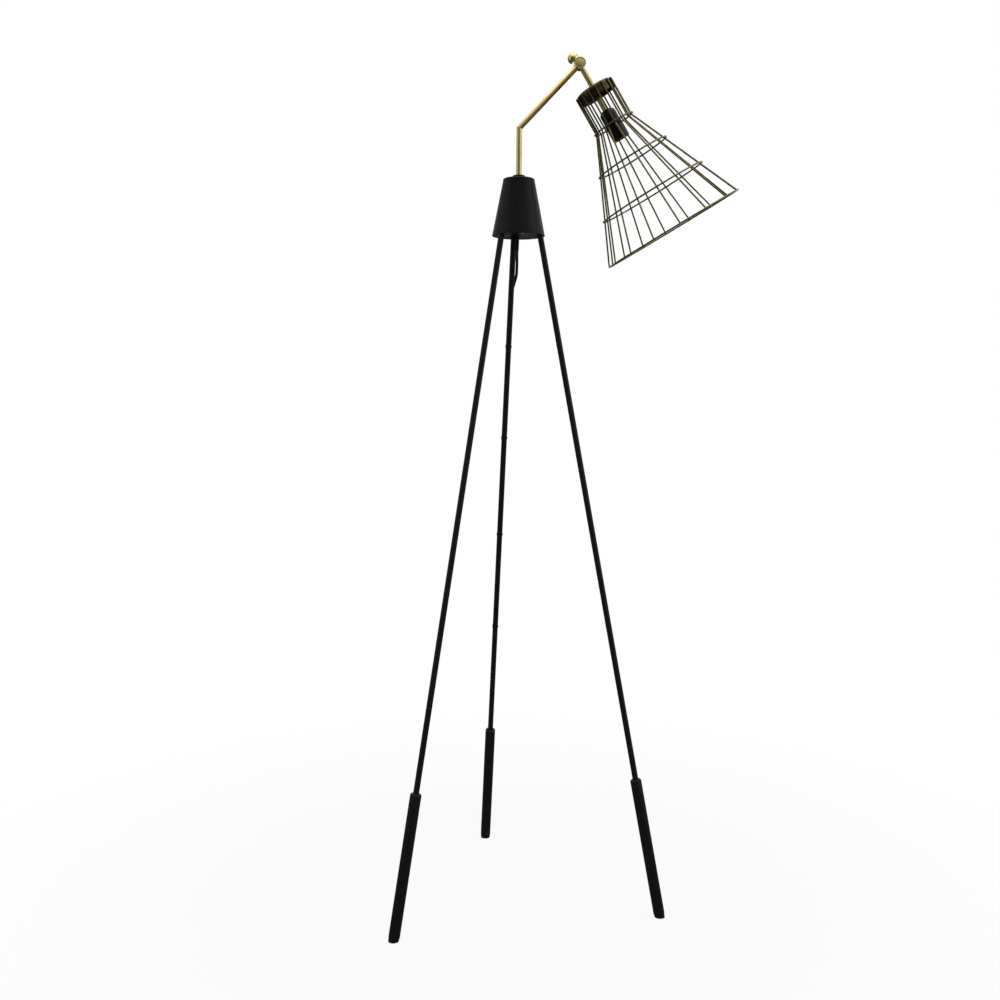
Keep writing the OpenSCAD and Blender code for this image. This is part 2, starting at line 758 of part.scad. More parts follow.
module lock_knob() {
    middle = knob_h - knob_r;
    color(polished_brass) at_pivot(lock_dir) translate([knob_base, lock_y, 0]) rotate([0, 90, 0])
        rotate_extrude() polygon(concat(
            [[lock_d / 2, 0]],
            arc([0, middle], knob_r, -asin(middle / knob_r), 81, 14),
            [[0, knob_h], [0, 6], [lock_d / 2, 6]]
        ));
}

// ---------- head ----------

module swivel_rotor() {
    color(steel) difference() {
        union() {
            at_pivot() rotate([90, 0, 0]) cylinder(h = rotor_w, r = rotor_r, center = true);
            on_stem() cylinder(h = stem_start + neck_grip, r = neck_r);
        }
        on_stem() cylinder(h = stem_start + neck_grip + 1, r = neck_bore_r);
        at_pivot() rotate([90, 0, 0]) cylinder(h = 2 * neck_bore_r, r = neck_bore_r, center = true);
        pivot_sector(arm_dir - tilt_up - window_spare, arm_dir + tilt_down + window_spare,
            0, rotor_r + 1, 2 * neck_bore_r);
    }
}

module stem_tube() {
    color(polished_brass) on_stem() difference() {
        translate([0, 0, stem_start]) cylinder(h = stem_end - stem_start, r = tube_r);
        translate([0, 0, stem_start - 1]) cylinder(h = stem_end - stem_start + 2, r = tube_bore_r);
        translate([0, 0, stem_start - 1]) cylinder(h = neck_grip + 1.4, r = neck_r + thread_gap);
    }
}

module stem_lead() {
    color(black_rubber) on_stem() cylinder(h = socket_top + 13, r = lead_r);
}

module cap_seat() {
    color(polished_brass) on_stem() translate([0, 0, cap_drop - seat_t])
        ring(tube_r + 3, tube_r, seat_t);
}

module shade_cap() {
    cap_r = cap_d / 2;
    corner = [cap_r - cap_round, cap_drop + cap_round];
    color(aged_brass) on_stem() rotate_extrude($fn = 96) polygon(concat(
        [[tube_r + 0.1, cap_drop + cap_t], [tube_r + 0.1, cap_drop]],
        arc(corner, cap_round, -90, 0, 6),
        [[cap_r, cap_foot], [cap_r - cap_t, cap_foot]],
        arc(corner, cap_round - cap_t, 0, -90, 6)
    ));
}

module cap_nut() {
    color(polished_brass) on_stem() translate([0, 0, cap_drop + cap_t]) difference() {
        cylinder(h = cap_nut_t, r = (2 * tube_r + 7) / sqrt(3), $fn = 6);
        translate([0, 0, -1]) cylinder(h = cap_nut_t + 2, r = tube_r + thread_gap);
    }
}

// Distance from the stem's centre line to a wire's centre line at a depth
function cage_r(depth) = wire_circle_r + max(0, depth - bend_depth) * tan(flare);

// The half space on one side of the mitre in a wire's bend, before or after it
module mitre_side(after) {
    far = 2 * cage_h;
    translate([wire_circle_r, 0, bend_depth]) rotate([0, flare / 2, 0])
        translate([-far / 2, -far / 2, after ? 0 : -far]) cube(far);
}

module cage_wire() {
    top = cap_drop + cap_round;
    past = 2 * wire_d;
    intersection() {
        translate([wire_circle_r, 0, top])
            cylinder(h = bend_depth - top + past, r = wire_r, $fn = 16);
        mitre_side(false);
    }
    intersection() {
        translate([wire_circle_r, 0, bend_depth]) rotate([0, flare, 0]) translate([0, 0, -past])
            cylinder(h = flare_len + past, r = wire_r, $fn = 16);
        mitre_side(true);
    }
}

module cage_wires() {
    color(aged_brass) on_stem() for (i = [0:wire_count - 1])
        rotate([0, 0, wire_turn + 360 / wire_count * i]) cage_wire();
}

module cage_ring_1() {
    color(aged_brass) on_stem() translate([0, 0, bend_depth - wire_r])
        hoop(wire_circle_r + ring_out, wire_r);
}

module outer_hoop(depth) {
    color(aged_brass) on_stem() translate([0, 0, depth])
        hoop(cage_r(depth) + ring_out / cos(flare), wire_r);
}

module cage_ring_2() { outer_hoop(cap_drop + ring_2_h); }

module cage_ring_3() { outer_hoop(cap_drop + ring_3_h); }

module cage_rim() {
    color(aged_brass) on_stem() translate([0, 0, cage_foot]) hoop(rim_r, wire_r);
}

// ---------- lamp socket ----------

module socket_cap() {
    r = socket_r - 1;
    top = socket_top;
    color(bakelite) on_stem() difference() {
        rotate_extrude() polygon(concat(
            [[tube_r + thread_gap, top]],
            arc([r - 9, top + 9], 9, -90, 0, 8),
            [[r, joint_z], [r - cap_skirt_t, joint_z], [r - cap_skirt_t, core_top],
             [tube_r + thread_gap, core_top]]
        ));
        rotate([0, 0, key_angle]) translate([0, 0, key_depth]) rotate([0, 90, 0])
            cylinder(h = 2 * socket_r, r = key_shaft_r + run_gap);
    }
}

module socket_shell() {
    r = socket_r;
    spigot_r = socket_r - 1 - cap_skirt_t - thread_gap;
    color(bakelite) on_stem() rotate_extrude() polygon([
        [core_r + 0.1, joint_z - 6], [spigot_r, joint_z - 6], [spigot_r, joint_z], [r, joint_z],
        [r, socket_foot - 1], [r - 0.8, socket_foot], [shell_r + shell_wall + 0.6, socket_foot],
        [shell_r + shell_wall + 0.6, joint_z + 2], [core_r + 0.1, joint_z + 2]
    ]);
}

module socket_core() {
    color(bakelite) on_stem() difference() {
        union() {
            translate([0, 0, core_top]) cylinder(h = joint_z + 2 - core_top, r = core_r);
            translate([0, 0, joint_z + 2]) cylinder(h = shell_top - joint_z - 2, r = shell_r + shell_wall);
        }
        translate([0, 0, core_top - 1]) cylinder(h = socket_top + 14 - core_top, r = lead_r + 0.1);
        rotate([0, 0, key_angle]) translate([core_r / 2, 0, key_depth]) rotate([0, 90, 0])
            cylinder(h = socket_r, r = key_shaft_r + run_gap);
        translate([0, 0, shell_top - contact_t]) cylinder(h = 10, r = contact_r + thread_gap);
        translate([0, 0, shell_top - contact_t - 2]) cylinder(h = 10, r = 1.5);
    }
}

module screw_shell() {
    color(polished_brass) on_stem() translate([0, 0, shell_top])
        ring(shell_r + shell_wall, shell_r, shell_len);
}

module centre_contact() {
    color(polished_brass) on_stem() {
        translate([0, 0, shell_top - contact_t]) cylinder(h = contact_t, r = contact_r);
        translate([0, 0, shell_top - contact_t - 2]) cylinder(h = 2.5, r = 1.5);
    }
}

module switch_key() {
    color(bakelite) on_stem() rotate([0, 0, key_angle]) translate([0, 0, key_depth]) {
        rotate([0, 90, 0]) {
            translate([0, 0, core_r / 2 + 0.5])
                cylinder(h = socket_r + 4 - core_r / 2 - 0.5, r = key_shaft_r);
            translate([0, 0, core_r + 0.1]) cylinder(h = 0.5, r = 3);
        }
        translate([socket_r + 3.5, 0, 0]) rotate([90, 0, 0]) linear_extrude(height = 3, center = true) {
            translate([0, -key_len / 2 + 1]) square([key_w, key_len - 2]);
            translate([1, -key_len / 2]) square([key_w - 2, key_len]);
        }
    }
}

// ---------- parts ----------

hub_shell();
leg_block();
collar_bush();
bush_washer();
bush_nut();
stop_peg();
hub_plate();
plate_screws();
strain_relief();
hub_lead();
leg(0);  // leg_1
leg(1);  // leg_2
leg(2);  // leg_3
foot_sleeve(0);  // foot_sleeve_1
foot_sleeve(1);  // foot_sleeve_2
foot_sleeve(2);  // foot_sleeve_3
foot_pad(0);  // foot_pad_1
foot_pad(1);  // foot_pad_2
foot_pad(2);  // foot_pad_3
foot_screws();
lead_ties();
lead_run();
lead_hank();
hank_tie();
lead_tail();
plug_body();
plug_blades();
post_tube();
arm_tube();
arm_nipple();
friction_washer();
ring_nut();
stop_pin();
post_lead();
arm_lead();
swivel_drum();
drum_cover();
lock_screw();
lock_knob();
swivel_rotor();
stem_tube();
stem_lead();
cap_seat();
shade_cap();
cap_nut();
cage_wires();
cage_ring_1();
cage_ring_2();
cage_ring_3();
cage_rim();
socket_cap();
socket_shell();
socket_core();
screw_shell();
centre_contact();
switch_key();
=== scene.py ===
# %% [markdown]
# # A tripod floor lamp
# The lamp stands on three slim black legs. A cone-shaped hub carries a bent brass arm, and a
# wire cage hangs from a swivel at its end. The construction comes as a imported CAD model, one
# object for each part, in metres, and already in its place. This lesson keeps every size of it
# and makes the looks: smooth meshes, welded wires, a real lead, and finishes made of nodes.

# %% Load the construction and keep its size
import math
import json

import bmesh
import bpy
from mathutils import Matrix, Vector


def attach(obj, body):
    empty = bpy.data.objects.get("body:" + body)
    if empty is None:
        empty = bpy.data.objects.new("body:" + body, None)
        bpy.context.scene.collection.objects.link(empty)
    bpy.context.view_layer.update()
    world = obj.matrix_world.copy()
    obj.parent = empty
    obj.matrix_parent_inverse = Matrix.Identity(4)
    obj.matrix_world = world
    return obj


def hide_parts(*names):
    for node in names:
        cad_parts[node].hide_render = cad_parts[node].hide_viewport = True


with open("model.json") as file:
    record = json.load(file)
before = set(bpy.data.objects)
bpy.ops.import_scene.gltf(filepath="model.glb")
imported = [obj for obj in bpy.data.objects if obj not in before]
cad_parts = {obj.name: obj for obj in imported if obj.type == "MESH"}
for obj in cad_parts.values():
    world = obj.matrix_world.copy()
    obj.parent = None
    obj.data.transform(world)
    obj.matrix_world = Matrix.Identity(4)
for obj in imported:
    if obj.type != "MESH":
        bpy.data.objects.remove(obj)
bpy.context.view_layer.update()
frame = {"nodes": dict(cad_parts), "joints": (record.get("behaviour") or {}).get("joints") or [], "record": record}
MM = 0.001

# %% [markdown]
# ## Camera
# A lens is the quickest thing to get right and the first thing that makes a picture wrong.
# The camera stands 2.13 m from the hub's axis and 0.99 m above the floor, a little to the left,
# and looks slightly down. Its place is set by distance and angle, which are easy to measure on
# a real stage, and not by dragging it about.

# %% Make the camera
CAMERA_DISTANCE = 2.132
CAMERA_HEIGHT = 0.987
CAMERA_SIDE = math.radians(4.474)
VIEW_HEADING = math.radians(3.636)
VIEW_DOWN = math.radians(5.446)
VIEW_ROLL = math.radians(0.39)
SENSOR_WIDTH, LENS = 36, 40.28

camera = bpy.data.objects.new("camera", bpy.data.cameras.new("camera"))
bpy.context.scene.collection.objects.link(camera)
bpy.context.scene.camera = camera
camera.data.sensor_width = SENSOR_WIDTH
camera.data.lens = LENS
place = Matrix.Translation((-CAMERA_DISTANCE * math.sin(CAMERA_SIDE),
                            -CAMERA_DISTANCE * math.cos(CAMERA_SIDE), CAMERA_HEIGHT))
aim = (Matrix.Rotation(-VIEW_HEADING, 4, "Z")
       @ Matrix.Rotation(math.pi / 2 - VIEW_DOWN, 4, "X") @ Matrix.Rotation(VIEW_ROLL, 4, "Z"))
camera.matrix_world = place @ aim
print("camera at", [round(v, 3) for v in camera.matrix_world.translation])

# %% [markdown]
# ## Helpers for a smooth line
# A lead hangs in one smooth curve, so a few given points are joined by a cubic curve
# whose slope at each point leans on its neighbours. The same rule shapes the lead in the
# construction, and this keeps both on one line.

# %% A smooth line through points


def slope_at(points, i):
    """The direction through a point, from its two neighbours."""
    before, after = points[max(i - 1, 0)], points[min(i + 1, len(points) - 1)]
    reach = (after - points[i]).length + (points[i] - before).length
    return (after - before) / reach


def smooth_line(points, step):
    """Points about one step apart on the smooth curve through the given ones."""
    line = []
    for i in range(len(points) - 1):
        start, end = points[i], points[i + 1]
        span = (end - start).length
        pull_a, pull_b = slope_at(points, i) * span, slope_at(points, i + 1) * span
        count = max(2, round(span / step))
        for k in range(count):
            t = k / count
            line.append((2 * t**3 - 3 * t**2 + 1) * start + (t**3 - 2 * t**2 + t) * pull_a
                        + (3 * t**2 - 2 * t**3) * end + (t**3 - t**2) * pull_b)
    return line + [points[-1]]


def line_length(line):
    return sum((b - a).length for a, b in zip(line, line[1:]))


test_line = smooth_line([Vector((0, 0, 0)), Vector((0.1, 0, 0)), Vector((0.1, 0.1, 0))], 5 * MM)
print("a corner of two sides of 0.1 m gives", round(line_length(test_line), 4), "m")

# %% [markdown]
# ## The lead's route
# The mains lead is 5.4 mm thick. It leaves the strain relief under the hub, swings against the
# rear leg, is tied to it four times, and comes down behind the rear sleeve to the floor. What
# is left over is folded into a hank on edge, held by a strap, and the plug lies at its end. A
# lead could also be dropped by a simulation, but here its whole way is known: a few points say
# it, and each can be moved by hand.

# %% Route of the lead
LEAD_D = 5.4 * MM
ROUTE_STEP = 4 * MM
lead_route = [Vector(p) * MM for p in [
    (0, 31, 1257), (0, 31, 1251), (0.1, 32.3, 1243), (0.5, 36.2, 1234.8), (0.9, 45, 1224.6),
    (0.9, 56.2, 1212.5), (-2.4, 65.4, 1198.5), (-6.3, 71.4, 1184), (-9, 76, 1165),
    (-10.5, 80.5, 1140),
    (-12.6, 89.5, 1080), (-17.5, 124.3, 900), (-23, 163, 700), (-28.4, 201.8, 500),
    (-32.8, 232.6, 340), (-34, 241.8, 300), (-35.5, 252.5, 262), (-36.5, 259.3, 228),
    (-38.5, 274.5, 150), (-40.6, 290, 70), (-41.6, 298, 34), (-41.8, 305, 18), (-40.6, 316, 7),
    (-38.4, 330, 3.3), (-36.2, 345, 2.75), (-35, 362, 2.7)]]
run_line = smooth_line(lead_route, ROUTE_STEP)
print("run to the hank", round(line_length(run_line), 4), "m")

# %% [markdown]
# ## The hank
# A hank is a lead folded to and fro in long turns. Here it has four turns in two layers and
# three rows. Each turn is two straight runs and two half circles, so it is written in a frame
# of its own: x along the hank, y across it, z up. The row and the layer change a little at a
# time along the runs and the folds, as they do when a hand winds it.

# %% Sizes of the hank
HANK_HEADING = math.radians(86)
HANK_PLACE = (Matrix.Translation((-35 * MM, 362 * MM, 0))
              @ Matrix.Rotation(HANK_HEADING, 4, "Z"))
HANK_RUN = 62 * MM
HANK_MIDDLE = 24.3 * MM
HANK_STEP = 3 * MM
OUTER, INNER = 21.6 * MM, 16.2 * MM
ROW = 5.6 * MM
RUN_STEPS, FOLD_STEPS, TAIL_STEPS = 8, 12, 4
TIE_LIFT, TIE_REACH = 1.0 * MM, 20 * MM
TAIL, INTO_PLUG = 48.3 * MM, 11 * MM
print("hank", round((HANK_RUN + 2 * OUTER + LEAD_D) / MM, 1), "mm long")

# %% Runs and folds of the hank


def eased(t):
    """Goes from 0 to 1 with a soft start and a soft end."""
    return t * t * (3 - 2 * t)


def hank_straight(start_x, end_x, side, height):
    """A straight run; side and height are pairs, at its start and at its end."""
    points = []
    for k in range(RUN_STEPS):
        t = k / RUN_STEPS
        x = start_x + (end_x - start_x) * t
        lift = 0.0
        off = abs(x - HANK_RUN / 2)
        if height[0] < HANK_MIDDLE and off < TIE_REACH:
            lift = TIE_LIFT * math.cos(math.pi / 2 * off / TIE_REACH) ** 2
        points.append(Vector((x, side[0] + (side[1] - side[0]) * eased(t),
                              height[0] + (height[1] - height[0]) * eased(t) + lift)))
    return points


def hank_fold(centre_x, way, side, radii):
    """A half circle at one end: way 1 rises at the far end, way -1 comes down at the near one."""
    points = []
    for k in range(FOLD_STEPS):
        t = k / FOLD_STEPS
        angle = -math.pi / 2 + math.pi * t if way > 0 else math.pi / 2 + math.pi * t
        radius = radii[0] + (radii[1] - radii[0]) * eased(t)
        points.append(Vector((centre_x + radius * math.cos(angle), side,
                              HANK_MIDDLE + radius * math.sin(angle))))
    return points


print("points of a run and a fold:", RUN_STEPS + len(hank_fold(0, 1, 0, (OUTER, INNER))))

# %% Wind the hank
turns = [((0, -ROW), OUTER, OUTER, (-ROW, -ROW), INNER),
         ((-ROW, -ROW), INNER, INNER, (-ROW, 0), INNER),
         ((0, 0), INNER, INNER, (0, ROW), INNER),
         ((ROW, ROW), INNER, OUTER, (ROW, ROW), OUTER)]
hank_points = []
for low_side, low_r, high_r, high_side, next_r in turns:
    hank_points += hank_straight(0, HANK_RUN, low_side, (HANK_MIDDLE - low_r,) * 2)
    hank_points += hank_fold(HANK_RUN, 1, low_side[1], (low_r, high_r))
    hank_points += hank_straight(HANK_RUN, 0, high_side, (HANK_MIDDLE + high_r,) * 2)
    hank_points += hank_fold(0, -1, high_side[1], (high_r, next_r))
hank_points += hank_straight(0, HANK_RUN, (ROW, 0), (HANK_MIDDLE - OUTER,) * 2)
tail_start = Vector((HANK_RUN, 0, LEAD_D / 2))
hank_points += [tail_start + Vector((TAIL * k / TAIL_STEPS, 0, 0)) for k in range(TAIL_STEPS + 1)]
hank_points.append(tail_start + Vector((TAIL + INTO_PLUG, 0, 0)))
hank_line = smooth_line([HANK_PLACE @ p for p in hank_points], HANK_STEP)
lead_line = run_line[:-1] + hank_line

# %% [markdown]
# ## Nodes for a finish
# Every finish is a small tree on the Principled shader, and all of them work alike. One noise
# mixes a dark and a light colour, a second one varies the gloss, and a third one is a fine bump.
# The patterns sit on Object coordinates, in metres, so a scale of 900 means a grain of about a
# millimetre.

# %% A pattern and its range


def noise(tree, scale, detail):
    """A noise on Object coordinates."""
    place_node = tree.nodes.new("ShaderNodeTexCoord")
    pattern = tree.nodes.new("ShaderNodeTexNoise")
    pattern.inputs["Scale"].default_value = scale
    pattern.inputs["Detail"].default_value = detail
    tree.links.new(place_node.outputs["Object"], pattern.inputs["Vector"])
    return pattern.outputs["Fac"]


def spread(tree, value, low, high, from_low=0.3, from_high=0.7):
    """Stretches a value to run from low to high."""
    node = tree.nodes.new("ShaderNodeMapRange")
    for name, number in (("From Min", from_low), ("From Max", from_high),
                         ("To Min", low), ("To Max", high)):
        node.inputs[name].default_value = number
    tree.links.new(value, node.inputs["Value"])
    return node.outputs["Result"]


# %% Two colours and a bump


def blend_colours(tree, mask, colour_a, colour_b):
    """Shows the first colour where the mask is 0 and the second where it is 1."""
    node = tree.nodes.new("ShaderNodeMix")
    node.data_type = "RGBA"
    node.inputs["A"].default_value = (*colour_a, 1)
    node.inputs["B"].default_value = (*colour_b, 1)
    tree.links.new(mask, node.inputs["Factor"])
    return node.outputs["Result"]


def bump(tree, shader, height, distance, strength):
    """A relief of a height in metres that bends the light but not the mesh."""
    node = tree.nodes.new("ShaderNodeBump")
    node.inputs["Distance"].default_value = distance
    node.inputs["Strength"].default_value = strength
    tree.links.new(height, node.inputs["Height"])
    tree.links.new(node.outputs["Normal"], shader.inputs["Normal"])


# %% One recipe for every finish


def grained_finish(name, colours, metallic, mottle, gloss, relief=None, specular=0.5):
    """mottle: scale, detail and the noise's range; gloss: scale, detail and the roughness's
    range; relief: scale, detail, height in metres and strength."""
    finish = bpy.data.materials.new(name)
    finish.use_nodes = True
    tree = finish.node_tree
    shader = tree.nodes["Principled BSDF"]
    shader.inputs["Metallic"].default_value = metallic
    shader.inputs["Specular IOR Level"].default_value = specular
    mask = spread(tree, noise(tree, *mottle[:2]), 0, 1, *mottle[2:])
    tree.links.new(blend_colours(tree, mask, *colours), shader.inputs["Base Color"])
    roughness = spread(tree, noise(tree, *gloss[:2]), *gloss[2:])
    tree.links.new(roughness, shader.inputs["Roughness"])
    if relief:
        bump(tree, shader, noise(tree, *relief[:2]), *relief[2:])
    print(name, "nodes:", len(tree.nodes))
    return finish


# %% [markdown]
# ## Black powder coat
# The hub, the collar, the legs and their sleeves are steel with a baked powder coat. It is not
# quite black, and satin: the powder flows out into a very fine orange peel, which blurs what it
# reflects. A flat black would look like a hole in the picture.

# %% Powder coat


def powder_coat(name, dark, light):
    return grained_finish(name, (dark, light), metallic=0, mottle=(60, 3), gloss=(140, 5, 0.36, 0.5),
                          relief=(1100, 2, 0.00006, 0.5), specular=0.12)


hub_paint = powder_coat("black_powder_coat_hub", (0.003, 0.0031, 0.0037), (0.0048, 0.0049, 0.0055))
# Painted light: the legs and sleeves get the hub's coat made lighter, for the light they catch.
leg_paint_painted_light = powder_coat("black_powder_coat_legs_painted_light", (0.008, 0.008, 0.0083), (0.0108, 0.0108, 0.011))

# %% [markdown]
# ## Polished brass
# The post, the arm, the swivel and the stem are lacquered brass. The colour of a metal is the
# colour of its reflections, so it sits in the base colour with the metallic value at one. Fine
# scratches from polishing vary the roughness, and handling leaves slightly darker patches.

# %% Polished brass
CLEAN_BRASS, HANDLED_BRASS = (0.63, 0.53, 0.225), (0.55, 0.445, 0.165)
brass = grained_finish("polished_brass", (CLEAN_BRASS, HANDLED_BRASS), metallic=1,
                       mottle=(45, 5, 0.35, 0.7), gloss=(220, 6, 0.14, 0.26),
                       relief=(1500, 3, 0.000006, 0.3))

# %% [markdown]
# ## Aged brass
# The cage and its cap are brass with a dark bath finish, rubbed back a little. The bath leaves
# dark olive brown, and the rubbing shows as warmer, lighter patches. So one noise mixes the two
# colours, and a finer one makes the rubbed metal glossier here and duller there.

# %% Aged brass


def aged_brass(name, dark, light):
    return grained_finish(name, (dark, light), metallic=1, mottle=(130, 6, 0.42, 0.72),
                          gloss=(420, 4, 0.2, 0.38), relief=(900, 4, 0.00001, 0.5))


wire_brass = aged_brass("aged_brass_wire", (0.085, 0.075, 0.03), (0.185, 0.162, 0.066))
cap_brass = aged_brass("aged_brass_cap", (0.038, 0.027, 0.017), (0.095, 0.072, 0.042))

# %% [markdown]
# ## Black plastics, rubber and steel
# The lamp holder is moulded phenolic resin, which is glossy and slightly brown. The lead has a
# soft PVC jacket, the ties are nylon, and the pads under the feet are matt rubber. They are all
# black, so only their gloss and their grain tell them apart, and one recipe with five numbers
# makes them all. Screws and nuts are steel with a thin layer of zinc, which is pale and cloudy.

# %% Plastics, rubber and steel
PALER = 1.5


def moulded(name, colour, roughness, grain, depth, specular):
    paler = tuple(c * PALER for c in colour)
    return grained_finish(name, (colour, paler), metallic=0, mottle=(80, 4),
                          gloss=(grain / 3, 4, *roughness), relief=(grain, 3, depth, 0.5),
                          specular=specular)


phenolic = moulded("black_phenolic", (0.0024, 0.0022, 0.0021), (0.1, 0.2), 500, 0.00001, 0.26)
jacket = moulded("lead_pvc_jacket", (0.0036, 0.0036, 0.0038), (0.38, 0.52), 900, 0.00002, 0.2)
nylon = moulded("tie_nylon", (0.004, 0.004, 0.004), (0.30, 0.42), 700, 0.00001, 0.25)
rubber = moulded("foot_rubber", (0.005, 0.005, 0.005), (0.62, 0.8), 800, 0.00003, 0.2)
steel = grained_finish("zinc_plated_steel", ((0.42, 0.42, 0.42), (0.58, 0.575, 0.55)), metallic=1,
                       mottle=(90, 5), gloss=(500, 4, 0.26, 0.45))
finishes = {"black_paint": hub_paint, "steel": steel, "rubber": rubber, "lead_jacket": jacket,
            "tie_plastic": nylon, "polished_brass": brass, "aged_brass": wire_brass,
            "black_bakelite": phenolic}
print("finishes:", sorted(finishes))

# %% [markdown]
# ## Smooth copies of the construction
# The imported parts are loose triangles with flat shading. A copy of each visible one is welded,
# its flat triangles are joined back into faces, and its real edges are kept sharp and get a
# small bevel, because no machined edge is perfectly sharp and the bevel catches the light.

# %% Helpers for meshes
WELD_DISTANCE = 2e-6


def put_in_scene(name, data, finish):
    piece = bpy.data.objects.new(name, data)
    bpy.context.scene.collection.objects.link(piece)
    data.materials.append(finish)
    return piece


def shade_smooth(work, sharp):
    """Smooth shading all over, but for edges that turn by more than so many degrees."""
    for face in work.faces:
        face.smooth = True
    for edge in work.edges:
        edge.smooth = not (edge.is_manifold and edge.calc_face_angle() > math.radians(sharp))


def tidy(mesh, sharp):
    """Welds doubles, turns faces outwards and keeps only real edges sharp."""
    work = bmesh.new()
    work.from_mesh(mesh)
    bmesh.ops.remove_doubles(work, verts=work.verts, dist=WELD_DISTANCE)
    bmesh.ops.recalc_face_normals(work, faces=work.faces)
    shade_smooth(work, sharp)
    work.to_mesh(mesh)
    work.free()


# %% Copy one part
FLAT_WITHIN, CAD_SHARP, ROUND_FROM = math.radians(0.6), 32, math.radians(40)


def body_of_node(node):
    for body, members in frame["record"]["behaviour"]["bodies"].items():
        if node in members:
            return body
    raise ValueError(node)


def dress(node, finish, bevel):
    """A smooth copy that stands for a CAD node, with its edges rounded by the bevel."""
    mesh = frame["nodes"][node].data.copy()
    mesh.materials.clear()
    mesh.name = node + "_skin"
    work = bmesh.new()
    work.from_mesh(mesh)
    bmesh.ops.remove_doubles(work, verts=work.verts, dist=WELD_DISTANCE)
    bmesh.ops.dissolve_limit(work, angle_limit=FLAT_WITHIN, verts=work.verts, edges=work.edges)
    shade_smooth(work, CAD_SHARP)
    work.to_mesh(mesh)
    work.free()
    piece = put_in_scene(node + "_skin", mesh, finish)
    if bevel:
        rounding = piece.modifiers.new("rounding", "BEVEL")
        rounding.width = bevel
        rounding.segments = 2
        rounding.limit_method = "ANGLE"
        rounding.angle_limit = ROUND_FROM
        rounding.harden_normals = True
    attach(piece, body_of_node(node))
    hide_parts(node)
    return piece


# %% [markdown]
# ## The lead as a curve
# A free lead is one open spline with a round bevel. Blender keeps its centre line, which makes
# its length exact, and its jacket takes the same finish as the short ends inside the lamp.

# %% Make the lead
lead_curve = bpy.data.curves.new("lead", "CURVE")
lead_curve.dimensions = "3D"
lead_curve.bevel_depth = LEAD_D / 2
lead_curve.bevel_resolution = 4
lead_curve.use_fill_caps = True
spline = lead_curve.splines.new("POLY")
spline.points.add(len(lead_line) - 1)
for point, at in zip(spline.points, lead_line):
    point.co = (*at, 1)
spline.use_smooth = True
lead = put_in_scene("lead", lead_curve, jacket)
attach(lead, "stand")
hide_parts("lead_run", "lead_hank", "lead_tail")
print("lead points:", len(lead_line))

# %% [markdown]
# ## The plug
# The plug is one moulding with two flat blades, 12.7 mm apart. Its grip has waisted sides and
# three ribs, and its tapered neck has rings that let it bend. The moulding is lofted from
# rounded outlines, because a bevelled box would have no waist.

# %% Rounded outlines


def rounded_outline(half_y, half_z, corner, count=5):
    """Corners of a rounded rectangle in the y-z plane, counter-clockwise seen from +x."""
    corner = min(corner, half_y, half_z)
    outline = []
    for quarter, (sy, sz) in enumerate(((1, 1), (-1, 1), (-1, -1), (1, -1))):
        for k in range(count):
            angle = math.pi / 2 * (quarter + k / (count - 1))
            outline.append((sy * (half_y - corner) + corner * math.cos(angle),
                            sz * (half_z - corner) + corner * math.sin(angle)))
    return outline


# %% Faces and skins


def grid_faces(rows, columns, rows_close, columns_close):
    """Faces between the neighbours of a grid of points; a way that closes wraps round."""
    faces = []
    for row in range(rows if rows_close else rows - 1):
        below = (row + 1) % rows
        for k in range(columns if columns_close else columns - 1):
            beside = (k + 1) % columns
            faces.append((row * columns + k, row * columns + beside,
                          below * columns + beside, below * columns + k))
    return faces


def skin(name, points, faces, finish, sharp):
    """A tidied mesh piece from points and faces."""
    mesh = bpy.data.meshes.new(name)
    mesh.from_pydata(points, [], faces)
    tidy(mesh, sharp)
    return put_in_scene(name, mesh, finish)


# %% A loft


def loft(name, sections, finish, place, sharp):
    """A closed skin over sections, each a list of points, capped at both ends."""
    rows, count = len(sections), len(sections[0])
    faces = grid_faces(rows, count, False, True)
    faces.append(tuple(reversed(range(count))))
    faces.append(tuple(range((rows - 1) * count, rows * count)))
    points = [place @ Vector(p) for section in sections for p in section]
    return skin(name, points, faces, finish, sharp)


# %% Neck of the plug
PLUG_START = HANK_RUN + TAIL
PLUG_HEIGHT, PLUG_WIDTH, PLUG_LENGTH = 13 * MM, 18 * MM, 27 * MM
NECK, NECK_LIP, NECK_ROWS, NECK_GROOVE = 20 * MM, 0.6 * MM, 24, 0.35 * MM
NECK_SHARE, NECK_SWELL = 0.98, 1.6


def neck_sections():
    """The neck widens from the lead to the plug's height, with grooves, and lies on the floor."""
    sections = []
    thin, thick = LEAD_D / 2 + NECK_LIP, PLUG_HEIGHT / 2
    for k in range(NECK_ROWS + 1):
        t = k / NECK_ROWS
        outer_r = thin + (thick - thin) * t**NECK_SWELL
        groove = NECK_GROOVE if k % 4 in (1, 2) and 2 < k < NECK_ROWS - 2 else 0
        radius = outer_r - groove
        sections.append([(PLUG_START + NECK * t * NECK_SHARE, y, outer_r + z)
                         for y, z in rounded_outline(radius, radius, radius)])
    return sections


print("sections of the neck:", len(neck_sections()))

# %% Grip of the plug
PLUG_CORNER, END_ROUND, END_SHARE = 3.2 * MM, 0.8 * MM, 0.06
GRIP_ROWS, GRIP_WAIST, GRIP_FLARE = 18, 1.6 * MM, 6
GRIP_RIB, RIBS_FROM, RIBS_TO = 0.45 * MM, 0.3, 0.78
WAIST_FROM, WAIST_SHARE = 0.1, 0.8


